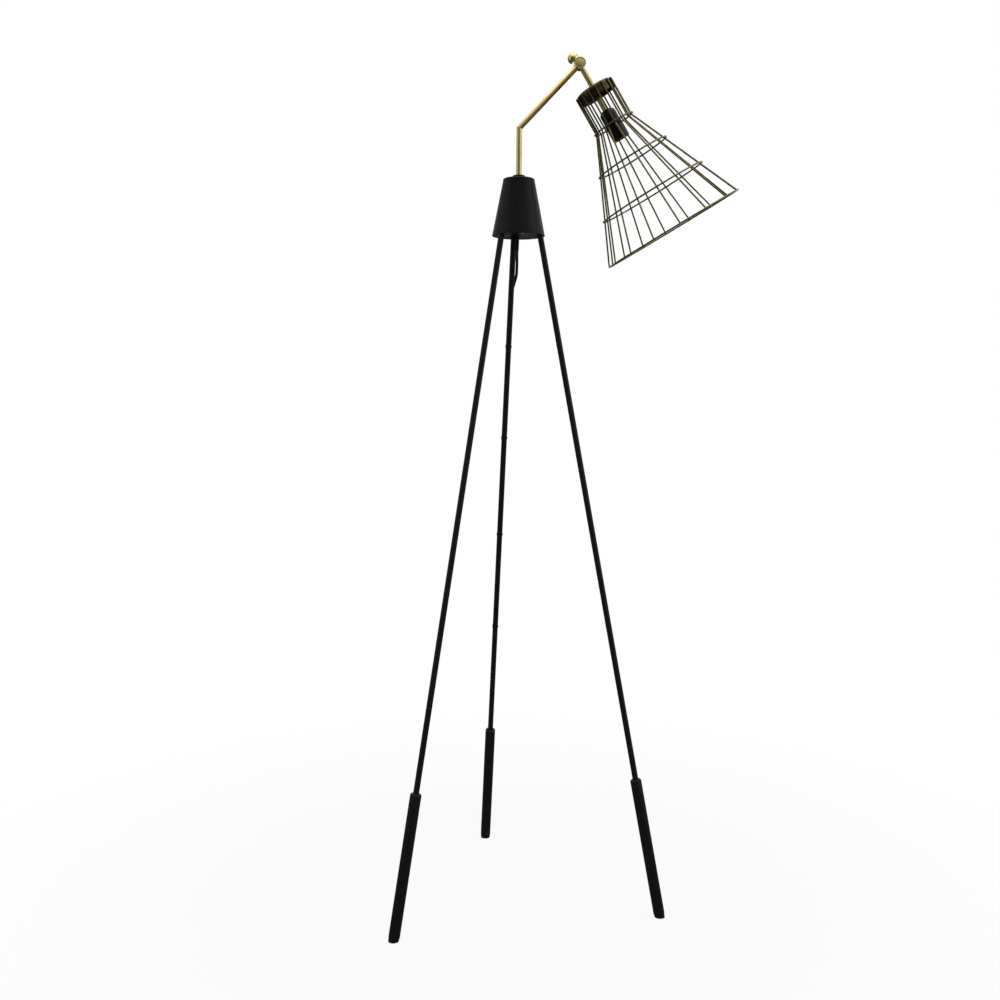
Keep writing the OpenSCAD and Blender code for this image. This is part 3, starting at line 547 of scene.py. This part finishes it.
def grip_sections():
    """The grip flares out, draws in at a waist with ribs, and has a rounded front."""
    sections = []
    half_z = PLUG_HEIGHT / 2
    for k in range(GRIP_ROWS + 1):
        t = k / GRIP_ROWS
        flare_out = min(1.0, t * GRIP_FLARE)
        rib = GRIP_RIB if RIBS_FROM < t < RIBS_TO and k % 3 == 0 else 0
        along = min(1, max(0, (t - WAIST_FROM) / WAIST_SHARE))
        waist = GRIP_WAIST * math.sin(math.pi * along) ** 2
        half_y = half_z + (PLUG_WIDTH / 2 - half_z) * flare_out - waist + rib
        end = max(0.0, t - (1 - END_SHARE)) / END_SHARE * END_ROUND
        sections.append([(PLUG_START + NECK + PLUG_LENGTH * t, y, half_z + z) for y, z in
                         rounded_outline(half_y - end, half_z - end, PLUG_CORNER)])
    return sections


print("sections of the grip:", len(grip_sections()))

plug = loft("plug", neck_sections() + grip_sections(), jacket, HANK_PLACE, sharp=50)
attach(plug, "stand")
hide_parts("plug_body")
strap = dress("hank_tie", nylon, 0.3 * MM)
print("plug faces:", len(plug.data.polygons))

# %% [markdown]
# ## Finishes of the visible parts
# One table says which part takes which finish, and how wide the rounding of its edges is. The
# legs and their sleeves take a lighter copy of the hub's coat: painted light, for the light that
# these thin parts catch. Where no rounding is given, the edges of the construction stay.

# %% Which node gets which finish
NO_BEVEL = 0.0
coats = [
    (hub_paint, "black_paint", 0.6 * MM, ("hub_shell",)),
    (hub_paint, "black_paint", NO_BEVEL, ("collar_bush", "hub_plate")),
    (leg_paint_painted_light, "black_paint", 0.4 * MM, ("foot_sleeve_1", "foot_sleeve_2", "foot_sleeve_3")),
    (leg_paint_painted_light, "black_paint", NO_BEVEL, ("leg_1", "leg_2", "leg_3")),
    (brass, "polished_brass", 0.5 * MM, ("swivel_drum",)),
    (brass, "polished_brass", NO_BEVEL, ("post_tube", "arm_tube", "stem_tube", "cap_seat",
                                         "cap_nut")),
    (phenolic, "black_bakelite", 0.4 * MM, ("switch_key",)),
    (phenolic, "black_bakelite", NO_BEVEL, ("socket_cap", "socket_shell", "socket_core")),
    (rubber, "rubber", 0.5 * MM, ("foot_pad_1", "foot_pad_2", "foot_pad_3")),
    (nylon, "tie_plastic", 0.3 * MM, ("lead_ties",)),
]
for finish, slot, bevel, nodes in coats:
    for node in nodes:
        piece = dress(node, finish, bevel)
        print(node, "faces:", len(piece.data.polygons))

# %% [markdown]
# ## The shade's frame
# The shade is built round the stem, so its pieces are written in the stem's own frame: z runs
# down the stem from the swivel, x points back to the post. Every size below is the
# construction's, in millimetres, except the roundings, which a maker would leave to the tool.

# %% Sizes of the shade
HEAD_LEAN = math.radians(31.3)
CAP_DROP, CAP_D, CAP_H, CAP_T = 48.8, 71.5, 20.0, 1.2
CAP_BORE_R, SHOULDER = 5.45, 5.0
WIRE_COUNT, WIRE_D, WIRE_TURN = 16, 3.2, math.radians(7.8)
NECK_H, CAGE_H, RIM_D = 78.0, 299.0, 275.0
RING_2_H, RING_3_H = 147.0, 221.0
WELD = 0.2
BEND_ROUND = 6.0

pivot = next(Vector(joint["pos_m"]) for joint in frame["joints"] if joint["name"] == "head_tilt")
lean_sin, lean_cos = math.sin(HEAD_LEAN), math.cos(HEAD_LEAN)
on_stem = Matrix(((-lean_cos, 0, lean_sin, pivot.x), (0, 1, 0, pivot.y),
                  (-lean_sin, 0, -lean_cos, pivot.z), (0, 0, 0, 1)))
wire_circle_r = CAP_D / 2 + WIRE_D / 2 - WELD
bend_depth, cage_foot = CAP_DROP + NECK_H, CAP_DROP + CAGE_H
flare = math.atan((RIM_D / 2 - wire_circle_r) / (cage_foot - bend_depth))
print("flare", round(math.degrees(flare), 2), "degrees, pivot", [round(v, 4) for v in pivot])

# %% [markdown]
# ## The cap
# The cap is a shallow cup, spun from sheet, with a rounded shoulder. A lathe profile turned
# round the stem is the honest way to model spun metal. The lower edge is rolled a little, and
# the edge is what catches the light.

# %% A lathe


def lathe(name, profile, finish, place, steps, sharp):
    """Turns a profile of (radius, depth) pairs round z: a loop, or a line from axis to axis."""
    points = []
    for s in range(steps):
        turn = math.tau * s / steps
        points += [place @ (Vector((r * math.cos(turn), r * math.sin(turn), z)) * MM)
                   for r, z in profile]
    is_loop = not profile[0][0] == profile[-1][0] == 0
    faces = grid_faces(steps, len(profile), True, is_loop)
    return skin(name, points, faces, finish, sharp)


def arc(centre, radius, start, end, steps=8):
    """Points on an arc, with its angles in degrees."""
    return [(centre[0] + radius * math.cos(math.radians(start + (end - start) * k / steps)),
             centre[1] + radius * math.sin(math.radians(start + (end - start) * k / steps)))
            for k in range(steps + 1)]


# %% Spin the cap
cap_r = CAP_D / 2
shoulder_at = (cap_r - SHOULDER, CAP_DROP + SHOULDER)
cap_lip = (cap_r - CAP_T / 2, CAP_DROP + CAP_H - CAP_T / 2)
cap_profile = ([(CAP_BORE_R, CAP_DROP + CAP_T), (CAP_BORE_R, CAP_DROP)]
               + arc(shoulder_at, SHOULDER, -90, 0) + arc(cap_lip, CAP_T / 2, 0, 180, 6)
               + arc(shoulder_at, SHOULDER - CAP_T, 0, -90))
cap = lathe("cap_spun", cap_profile, cap_brass, on_stem, steps=128, sharp=35)
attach(cap, "head")
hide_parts("shade_cap")
print("cap faces:", len(cap.data.polygons))

# %% [markdown]
# ## The cover of the swivel
# The same lathe makes the cover that closes the swivel's drum. It is slightly domed, so it
# shades from light to dark where a flat disc would be one dead tone. Its two spanner holes are
# cut with a Boolean modifier, which is baked at once, because the holes must be real.

# %% Bake a modifier into a mesh


def plain_mesh(piece, finish):
    """Keeps what the modifiers of a piece give as its own mesh, with one finish."""
    graph = bpy.context.evaluated_depsgraph_get()
    mesh = bpy.data.meshes.new_from_object(piece.evaluated_get(graph), depsgraph=graph,
                                           preserve_all_data_layers=True)
    piece.modifiers.clear()
    piece.data = mesh
    mesh.name = piece.name
    mesh.materials.clear()
    mesh.materials.append(finish)
    for face in mesh.polygons:
        face.material_index = 0
    return mesh


# %% Turn the cover
COVER_R, COVER_FRONT, COVER_BACK, COVER_DOME = 8.5, 10.0, 7.5, 0.7
DOME_STEPS = 12
HOLE_R, HOLE_OUT, HOLE_DEEP = 1.0, 0.6 * COVER_R, 1.2
at_pivot = Matrix.Translation(pivot) @ Matrix.Rotation(math.pi / 2, 4, "X")
dome = []
for k in range(DOME_STEPS + 1):
    outward = math.sin(math.pi / 2 * k / DOME_STEPS)
    dome.append((COVER_R * outward, COVER_FRONT - COVER_DOME * outward**2))
cover = lathe("swivel_cover", dome + [(COVER_R, COVER_BACK), (0, COVER_BACK)], brass, at_pivot,
              steps=96, sharp=30)
print("points of the profile:", len(dome) + 2)

# %% Cut its spanner holes
hole_foot, hole_top = COVER_FRONT - HOLE_DEEP, COVER_FRONT + 1
hole_profile = [(0, hole_foot), (HOLE_R, hole_foot), (HOLE_R, hole_top), (0, hole_top)]
for side in (-1, 1):
    hole = lathe("spanner_hole", hole_profile, brass,
                 at_pivot @ Matrix.Translation((side * HOLE_OUT * MM, 0, 0)), steps=24, sharp=35)
    cut = cover.modifiers.new("cut", "BOOLEAN")
    cut.operation, cut.solver, cut.object = "DIFFERENCE", "EXACT", hole
    plain_mesh(cover, brass)
    bpy.data.objects.remove(hole)
tidy(cover.data, sharp=30)
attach(cover, "arm")
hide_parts("drum_cover")
print("cover faces:", len(cover.data.polygons))

# %% [markdown]
# ## The strain relief
# Where the lead leaves the hub, a tapered sleeve of soft rubber keeps it from kinking. Grooves
# round it let it bend a little with the lead. A flange above the cover plate holds it, so one
# profile runs up the taper, past the plate and round the flange, and back through the bore.

# %% Turn the strain relief
RELIEF_AT = (0, 31, 1257.0)
RELIEF_LEN, RELIEF_BORE = 24.0, 2.75
RELIEF_FOOT_R, RELIEF_TOP_R, FLANGE_R = 3.4, 4.2, 5.7
PLATE_T, FLANGE_T = 2.0, 3.0
GROOVES, FIRST_GROOVE, GROOVE_PITCH = 5, 1.8, 4.2
GROOVE_W, GROOVE_DEEP, GROOVE_SLOPE = 2.2, 0.45, 0.35


def relief_r(height):
    return RELIEF_FOOT_R + (RELIEF_TOP_R - RELIEF_FOOT_R) * height / RELIEF_LEN


relief_profile = [(RELIEF_BORE, 0), (RELIEF_FOOT_R, 0)]
for k in range(GROOVES):
    low = FIRST_GROOVE + GROOVE_PITCH * k
    high = low + GROOVE_W
    relief_profile += [(relief_r(low), low), (relief_r(low) - GROOVE_DEEP, low + GROOVE_SLOPE),
                       (relief_r(high) - GROOVE_DEEP, high - GROOVE_SLOPE), (relief_r(high), high)]
flange_foot = RELIEF_LEN + PLATE_T
relief_profile += [(RELIEF_TOP_R, RELIEF_LEN), (RELIEF_TOP_R, flange_foot), (FLANGE_R, flange_foot),
                   (FLANGE_R, flange_foot + FLANGE_T), (RELIEF_BORE, flange_foot + FLANGE_T)]
relief = lathe("strain_relief_rings", relief_profile, rubber,
               Matrix.Translation(Vector(RELIEF_AT) * MM), steps=48, sharp=25)
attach(relief, "stand")
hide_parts("strain_relief")
print("strain relief faces:", len(relief.data.polygons))

# %% [markdown]
# ## The locking knob
# The knob that locks the tilt is a ball with a flat foot and a small flat on its top, as it
# comes off a lathe. Its axis points up and back from the swivel, so its frame is built from
# that direction.

# %% Turn the locking knob
KNOB_R, KNOB_MIDDLE, KNOB_BASE, KNOB_SIDE = 10.5, 4.7, 11.3, 5.15
KNOB_FOOT_EDGE, KNOB_FLAT_DROP, KNOB_FLAT_R = 0.8, 0.35, 0.9
BALL_FROM, BALL_TO, BALL_STEPS = 7, 84, 22
LOCK_DIRECTION = math.radians(136.7)
foot_angle = math.degrees(math.asin(KNOB_MIDDLE / KNOB_R))
ball = arc((0, KNOB_MIDDLE), KNOB_R, BALL_FROM - foot_angle, BALL_TO, BALL_STEPS)
knob_top = KNOB_MIDDLE + KNOB_R - KNOB_FLAT_DROP
knob_profile = ([(0, 0), (ball[0][0] - KNOB_FOOT_EDGE, 0)] + ball
                + [(KNOB_FLAT_R, knob_top), (0, knob_top)])
lock_way = Vector((math.cos(LOCK_DIRECTION), 0, math.sin(LOCK_DIRECTION)))
knob_at = pivot + lock_way * KNOB_BASE * MM + Vector((0, KNOB_SIDE, 0)) * MM
on_lock = Matrix.Translation(knob_at) @ lock_way.to_track_quat("Z", "Y").to_matrix().to_4x4()
knob = lathe("locking_knob", knob_profile, brass, on_lock, steps=96, sharp=30)
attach(knob, "lock")
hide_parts("lock_knob")
print("knob faces:", len(knob.data.polygons))

# %% [markdown]
# ## The screw shell
# The bulb screws into a shell of thin brass with a rolled thread, seven turns to the inch. A
# thread isn't a turned shape, so the shell is built row by row: each row is a ring whose radius
# waves once round, and the wave moves on with the depth. It fades out at both ends.

# %% Roll the thread of the screw shell
SOCKET_DROP, SOCKET_LEN, SHELL_INSET = 47.0, 60.0, 2.0
SHELL_R, SHELL_WALL, SHELL_LEN = 13.1, 0.5, 21.0
SHELL_FOOT = CAP_DROP + SOCKET_DROP + SOCKET_LEN - SHELL_INSET
SHELL_STEPS, SHELL_ROWS, FADE_ROWS = 72, 84, 8
THREAD_PITCH, THREAD_DEPTH = 25.4 / 7, 0.22


def shell_ring(row, wall):
    """One ring of points of the shell's inner or outer side."""
    depth = SHELL_FOOT - SHELL_LEN + SHELL_LEN * row / SHELL_ROWS
    fade = min(1.0, row / FADE_ROWS, (SHELL_ROWS - row) / FADE_ROWS)
    ring = []
    for k in range(SHELL_STEPS):
        turn = math.tau * k / SHELL_STEPS
        wave = math.cos(math.tau * depth / THREAD_PITCH - turn)
        radius = SHELL_R + wall + THREAD_DEPTH * fade * wave
        ring.append(on_stem @ (Vector((radius * math.cos(turn), radius * math.sin(turn),
                                       depth)) * MM))
    return ring


inner = [shell_ring(row, 0.0) for row in range(SHELL_ROWS + 1)]
outer = [shell_ring(row, SHELL_WALL) for row in range(SHELL_ROWS + 1)]
loop = inner + outer[::-1]
shell_faces = grid_faces(len(loop), SHELL_STEPS, True, True)
screw_shell = skin("screw_shell_thread", [point for ring in loop for point in ring],
                   shell_faces, brass, sharp=50)
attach(screw_shell, "head")
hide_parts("screw_shell")
print("thread turns:", round(SHELL_LEN / THREAD_PITCH, 1), "faces:", len(shell_faces))

# %% [markdown]
# ## The wire cage
# Sixteen wires start on the cap's shoulder, hang straight down the neck and then flare to the
# rim. They are resistance welded to three rings and a rim, and each weld leaves a small bead.
# All of that follows one rule, so it is a node tree: one wire's centre line goes in, and the
# tree makes the wires, the hoops and the beads from named sizes. Change the number of wires and
# the beads follow.

# %% One wire's centre line
TIP_ANGLE, TIP_STEPS = -14, 3
NECK_POINTS = (12, 40)
BEND_STEPS, FLARE_STEPS = 6, 5
INTO_RIM = 0.45
tip_r = SHOULDER + WIRE_D / 2 - WELD
bend_cut = BEND_ROUND * math.tan(flare / 2)
wire_points = arc(shoulder_at, tip_r, TIP_ANGLE, 0, TIP_STEPS)
wire_points += [(wire_circle_r, CAP_DROP + below) for below in NECK_POINTS]
for k in range(BEND_STEPS + 1):
    turned = flare * k / BEND_STEPS
    wire_points.append((wire_circle_r + BEND_ROUND * (1 - math.cos(turned)),
                        bend_depth - bend_cut + BEND_ROUND * math.sin(turned)))
flare_end = cage_foot - WIRE_D * INTO_RIM
for k in range(1, FLARE_STEPS + 1):
    depth = bend_depth + bend_cut + (flare_end - bend_depth - bend_cut) * k / FLARE_STEPS
    wire_points.append((wire_circle_r + (depth - bend_depth) * math.tan(flare), depth))
centre_line = bpy.data.meshes.new("cage")
centre_line.from_pydata([Vector((r, 0, z)) * MM for r, z in wire_points],
                        [(k, k + 1) for k in range(len(wire_points) - 1)], [])
cage = put_in_scene("cage", centre_line, wire_brass)
print("wire length", round(sum(math.dist(a, b) for a, b in zip(wire_points, wire_points[1:])), 1))

# %% [markdown]
# The rings lie outside the wires and touch them, and the rim is welded under their ends. So a
# ring's radius is the wire's radius at that depth plus one wire, less the weld.

# %% Sizes the tree takes
BEAD_R, RIM_WELD = 1.45, 0.4
ring_out = WIRE_D - WELD
slant_out = ring_out / math.cos(flare)


def cage_r(depth):
    """The radius at which the wires run at a depth below the swivel."""
    return wire_circle_r + max(0, depth - bend_depth) * math.tan(flare)


upper_depth, lower_depth = CAP_DROP + RING_2_H, CAP_DROP + RING_3_H
hoops = [("Neck ring", wire_circle_r + ring_out, bend_depth - WIRE_D / 2, ring_out / 2),
         ("Upper ring", cage_r(upper_depth) + slant_out, upper_depth, slant_out / 2),
         ("Lower ring", cage_r(lower_depth) + slant_out, lower_depth, slant_out / 2),
         ("Rim", RIM_D / 2, cage_foot, RIM_WELD)]
sizes = {"Wires": WIRE_COUNT, "First wire": WIRE_TURN, "Wire radius": WIRE_D / 2 * MM,
         "Bead radius": BEAD_R * MM, "Tip radius": wire_points[0][0] * MM,
         "Tip depth": wire_points[0][1] * MM}
for name, radius, depth, inward in hoops:
    sizes[name + " radius"] = radius * MM
    sizes[name + " depth"] = depth * MM
    sizes[name + " weld"] = inward * MM
print({name: round(value, 5) for name, value in sizes.items()})

# %% [markdown]
# A node tree is written like any other program here: `step` adds one node and hands back its
# outlet, so that one step can be put inside another. Every size gets a named input of its own.

# %% Start the tree
cage_tree = bpy.data.node_groups.new("cage_rule", "GeometryNodeTree")
cage_tree.interface.new_socket("Geometry", in_out="INPUT", socket_type="NodeSocketGeometry")
cage_tree.interface.new_socket("Geometry", in_out="OUTPUT", socket_type="NodeSocketGeometry")
for name in sizes:
    kind = "NodeSocketInt" if name == "Wires" else "NodeSocketFloat"
    cage_tree.interface.new_socket(name, in_out="INPUT", socket_type=kind)
inlet = cage_tree.nodes.new("NodeGroupInput")
print("inputs of the tree:", len(inlet.outputs) - 1)

# %% Helpers for its nodes


def step(kind, fields=None, **values):
    """Adds a node; _0, _1 are inputs by number, and a value may be another node's outlet."""
    node = cage_tree.nodes.new(kind)
    for field, choice in (fields or {}).items():
        setattr(node, field, choice)
    for key, value in values.items():
        socket = node.inputs[int(key[1:])] if key[1:].isdigit() else node.inputs[key]
        if isinstance(value, bpy.types.NodeSocket):
            cage_tree.links.new(value, socket)
        else:
            socket.default_value = value
    return node.outputs[0]


def maths(operation, a, b):
    return step("ShaderNodeMath", {"operation": operation}, _0=a, _1=b)


def on_each_wire(radius, depth):
    """One point a wire, at a radius and a depth."""
    at = step("ShaderNodeCombineXYZ", X=radius, Z=depth)
    spot = step("ShaderNodeVectorRotate", {"rotation_type": "Z_AXIS"}, Vector=at, Angle=wire_angle)
    return step("GeometryNodePoints", Count=inlet.outputs["Wires"], Position=spot)


# %% The wires
SECTION_SIDES = 12
wire_section = step("GeometryNodeCurvePrimitiveCircle", Resolution=SECTION_SIDES,
                    Radius=inlet.outputs["Wire radius"])
one_wire = step("GeometryNodeCurveToMesh", _0=step("GeometryNodeMeshToCurve",
                                                   Mesh=inlet.outputs["Geometry"]), _1=wire_section)
one_wire.node.inputs["Fill Caps"].default_value = True
wire_angle = maths("ADD", inlet.outputs["First wire"], maths(
    "MULTIPLY", step("GeometryNodeInputIndex"), maths("DIVIDE", math.tau, inlet.outputs["Wires"])))
wire_turn = step("ShaderNodeCombineXYZ", Z=wire_angle)
all_wires = step("GeometryNodeInstanceOnPoints", Instance=one_wire, Rotation=wire_turn,
                 Points=step("GeometryNodePoints", Count=inlet.outputs["Wires"]))
pieces = [all_wires]
print("nodes up to the wires:", len(cage_tree.nodes))

# %% [markdown]
# A bead isn't a perfect ball. Its three sizes vary a little at random from weld to weld, and a
# fixed seed for each hoop makes the same cage every time. The tips of the wires on the cap are
# rounded with a ball of the wire's own radius.

# %% The rings, the rim and the beads
HOOP_STEPS, FIRST_SEED = 160, 11
BEAD_LEAST, BEAD_MOST = (0.85, 1.0, 0.95), (1.0, 1.3, 1.25)
bead = step("GeometryNodeMeshIcoSphere", Radius=inlet.outputs["Bead radius"], Subdivisions=2)
for number, (name, *_) in enumerate(hoops):
    radius, depth = inlet.outputs[name + " radius"], inlet.outputs[name + " depth"]
    circle = step("GeometryNodeCurvePrimitiveCircle", Resolution=HOOP_STEPS, Radius=radius)
    hoop = step("GeometryNodeCurveToMesh", Curve=circle, _1=wire_section)
    pieces.append(step("GeometryNodeTransform", Geometry=hoop,
                       Translation=step("ShaderNodeCombineXYZ", Z=depth)))
    weld_r = maths("SUBTRACT", radius, inlet.outputs[name + " weld"])
    size = step("FunctionNodeRandomValue", {"data_type": "FLOAT_VECTOR"}, _0=BEAD_LEAST,
                _1=BEAD_MOST, Seed=FIRST_SEED + number)
    pieces.append(step("GeometryNodeInstanceOnPoints", Instance=bead, Rotation=wire_turn,
                       Scale=size, Points=on_each_wire(weld_r, depth)))
print("hoops:", len(hoops), "beads:", len(hoops) * WIRE_COUNT)

# %% The tips, and the end of the tree
ball_end = step("GeometryNodeMeshIcoSphere", Radius=inlet.outputs["Wire radius"], Subdivisions=3)
tips = on_each_wire(inlet.outputs["Tip radius"], inlet.outputs["Tip depth"])
pieces.append(step("GeometryNodeInstanceOnPoints", Instance=ball_end, Points=tips))
joined = cage_tree.nodes.new("GeometryNodeJoinGeometry")
for outlet in pieces:
    cage_tree.links.new(outlet, joined.inputs[0])
realized = step("GeometryNodeRealizeInstances", Geometry=joined.outputs[0])
dressed = step("GeometryNodeSetMaterial", Geometry=realized, Material=wire_brass)
cage_tree.links.new(dressed, cage_tree.nodes.new("NodeGroupOutput").inputs[0])
print("nodes of the tree:", len(cage_tree.nodes))

# %% Grow the cage and keep it as a mesh
growth = cage.modifiers.new("cage rule", "NODES")
growth.node_group = cage_tree
for item in cage_tree.interface.items_tree:
    if item.in_out == "INPUT" and item.name in sizes:
        growth[item.identifier] = sizes[item.name]
bpy.context.view_layer.update()
grown = plain_mesh(cage, wire_brass)
grown.transform(on_stem)
tidy(grown, sharp=50)
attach(cage, "head")
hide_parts("cage_wires", "cage_ring_1", "cage_ring_2", "cage_ring_3", "cage_rim")
print("cage faces:", len(grown.polygons), "materials:", [m.name for m in grown.materials])

# %% [markdown]
# ## Parts inside
# What stays as built, such as the nuts, the washers and the short leads, takes the finish that
# its material slot asks for, and no shape changes.

# %% Finishes of the parts inside
for name, piece in frame["nodes"].items():
    for place_slot in piece.material_slots:
        place_slot.material = finishes[place_slot.material.name.split(".")[0]]
print("dressed nodes:", len(frame["nodes"]))

# %% [markdown]
# ## Stage
# The lamp stands on a plain pale floor in a white room. What the camera sees of the room and the
# floor is white. Under the lamp the floor keeps a small share of its own shade, so a faint
# contact shadow stays at the feet. Metal is different, because it shows what is around it.
# Brass without a dark side to reflect looks like yellow paint, so a metal surface sees a dim
# floor, and a room that is bright above and to the right and dimmer in front.

# %% Helpers for the stage


def mixed(tree, factor, otherwise, then):
    """Shows the second shader where the factor is 1."""
    node = tree.nodes.new("ShaderNodeMixShader")
    tree.links.new(factor, node.inputs[0])
    tree.links.new(otherwise, node.inputs[1])
    tree.links.new(then, node.inputs[2])
    return node.outputs[0]


def glow(tree, strength):
    node = tree.nodes.new("ShaderNodeEmission")
    node.inputs["Strength"].default_value = strength
    return node.outputs[0]


# %% Lay the floor
FLOOR_REACH, FLOOR_GREY = 12.0, 0.72
floor_mesh = bpy.data.meshes.new("floor")
floor_mesh.from_pydata([(x * FLOOR_REACH, y * FLOOR_REACH, 0)
                        for x, y in ((-1, -1), (1, -1), (1, 1), (-1, 1))], [], [(0, 1, 2, 3)])
floor_finish = bpy.data.materials.new("pale_floor")
floor_finish.use_nodes = True
floor = put_in_scene("floor", floor_mesh, floor_finish)
print("floor", 2 * FLOOR_REACH, "m wide")

# %% Finish of the floor
WHITE_NEAR, WHITE_FAR = 0.92, 1.0
NEAR_UP_TO, FAR_FROM = 0.45, 1.3
FLOOR_IN_METAL = 0.12
tree = floor_finish.node_tree
matt = tree.nodes["Principled BSDF"]
matt.inputs["Base Color"].default_value = (FLOOR_GREY, FLOOR_GREY, FLOOR_GREY, 1)
matt.inputs["Roughness"].default_value = 0.9
matt.inputs["Specular IOR Level"].default_value = 0.0
place_node = tree.nodes.new("ShaderNodeTexCoord")
distance = tree.nodes.new("ShaderNodeVectorMath")
distance.operation = "LENGTH"
tree.links.new(place_node.outputs["Object"], distance.inputs[0])
share = spread(tree, distance.outputs["Value"], WHITE_NEAR, WHITE_FAR, NEAR_UP_TO, FAR_FROM)
rays = tree.nodes.new("ShaderNodeLightPath")
whiten = tree.nodes.new("ShaderNodeMath")
whiten.operation = "MULTIPLY"
tree.links.new(share, whiten.inputs[0])
tree.links.new(rays.outputs["Is Camera Ray"], whiten.inputs[1])
seen = mixed(tree, whiten.outputs[0], matt.outputs[0], glow(tree, 1.0))
seen = mixed(tree, rays.outputs["Is Glossy Ray"], seen, glow(tree, FLOOR_IN_METAL))
tree.links.new(seen, tree.nodes["Material Output"].inputs["Surface"])
print("nodes of the floor's finish:", len(tree.nodes))

# %% Brightness of the room
ROOM_DARK, ROOM_BRIGHT = 0.08, 1.12
TO_THE_RIGHT, TO_THE_BACK, ROOM_MIDDLE = 0.3, 0.26, 0.36
world = bpy.data.worlds.new("studio")
bpy.context.scene.world = world
world.use_nodes = True
sky = world.node_tree
sky.nodes.clear()
direction = sky.nodes.new("ShaderNodeTexCoord")
axes = sky.nodes.new("ShaderNodeSeparateXYZ")
sky.links.new(direction.outputs["Generated"], axes.inputs[0])


def sum_of(value, factor, rest):
    """value * factor + rest, where rest is a number or an outlet."""
    node = sky.nodes.new("ShaderNodeMath")
    node.operation = "MULTIPLY_ADD"
    node.inputs[1].default_value = factor
    sky.links.new(value, node.inputs[0])
    if isinstance(rest, float):
        node.inputs[2].default_value = rest
    else:
        sky.links.new(rest, node.inputs[2])
    return node.outputs[0]


depthwise = sum_of(axes.outputs["Y"], TO_THE_BACK, ROOM_MIDDLE)
sideways = sum_of(axes.outputs["X"], TO_THE_RIGHT, depthwise)
upwards = sum_of(axes.outputs["Z"], 1.0, sideways)
room_side = spread(sky, upwards, ROOM_DARK, ROOM_BRIGHT, ROOM_DARK, ROOM_BRIGHT)
print("straight up the room is", min(ROOM_BRIGHT, 1 + ROOM_MIDDLE), "bright")

# %% Room
ROOM_FILL = 0.35


def background(strength):
    """An even white room of a strength, which is a number or an outlet."""
    node = sky.nodes.new("ShaderNodeBackground")
    node.inputs["Color"].default_value = (1, 1, 1, 1)
    if isinstance(strength, float):
        node.inputs["Strength"].default_value = strength
    else:
        sky.links.new(strength, node.inputs["Strength"])
    return node.outputs[0]


rays = sky.nodes.new("ShaderNodeLightPath")
room = mixed(sky, rays.outputs["Is Glossy Ray"], background(ROOM_FILL), background(room_side))
room = mixed(sky, rays.outputs["Is Transmission Ray"], room, background(1.0))
room = mixed(sky, rays.outputs["Is Camera Ray"], room, background(1.0))
sky.links.new(room, sky.nodes.new("ShaderNodeOutputWorld").inputs["Surface"])
print("room nodes:", len(sky.nodes))

# %% [markdown]
# ## Soft lamps
# Three large panels light the lamp: a cool one on the left like a window, a neutral one on the
# right, and one overhead. The larger a panel is, the softer is its edge in the brass, and the
# longer is the streak that it leaves along a round tube.

# %% Soft lamps
LAMP_AIM = Vector((0, 0, 1.0))
WINDOW_BLUE = (0.7, 0.86, 1.0)


def soft_lamp(name, at, size, power, colour=(1, 1, 1)):
    """A large panel aimed at the middle of the lamp."""
    lamp = bpy.data.lights.new(name, "AREA")
    lamp.shape = "RECTANGLE"
    lamp.size, lamp.size_y = size
    lamp.energy = power
    lamp.color = colour
    piece = bpy.data.objects.new(name, lamp)
    bpy.context.scene.collection.objects.link(piece)
    piece.location = at
    piece.rotation_euler = (Vector(at) - LAMP_AIM).to_track_quat("Z", "Y").to_euler()
    print(name, "radiance", round(power / (math.pi * size[0] * size[1]), 2))


soft_lamp("left_window", (-2.9, -0.6, 1.7), (2.0, 3.0), 16, WINDOW_BLUE)
soft_lamp("right_panel", (3.0, -0.9, 1.9), (1.6, 3.0), 24)
soft_lamp("top_panel", (0.1, -0.3, 3.8), (3.0, 2.6), 34)
bpy.context.scene.view_settings.view_transform = "Standard"
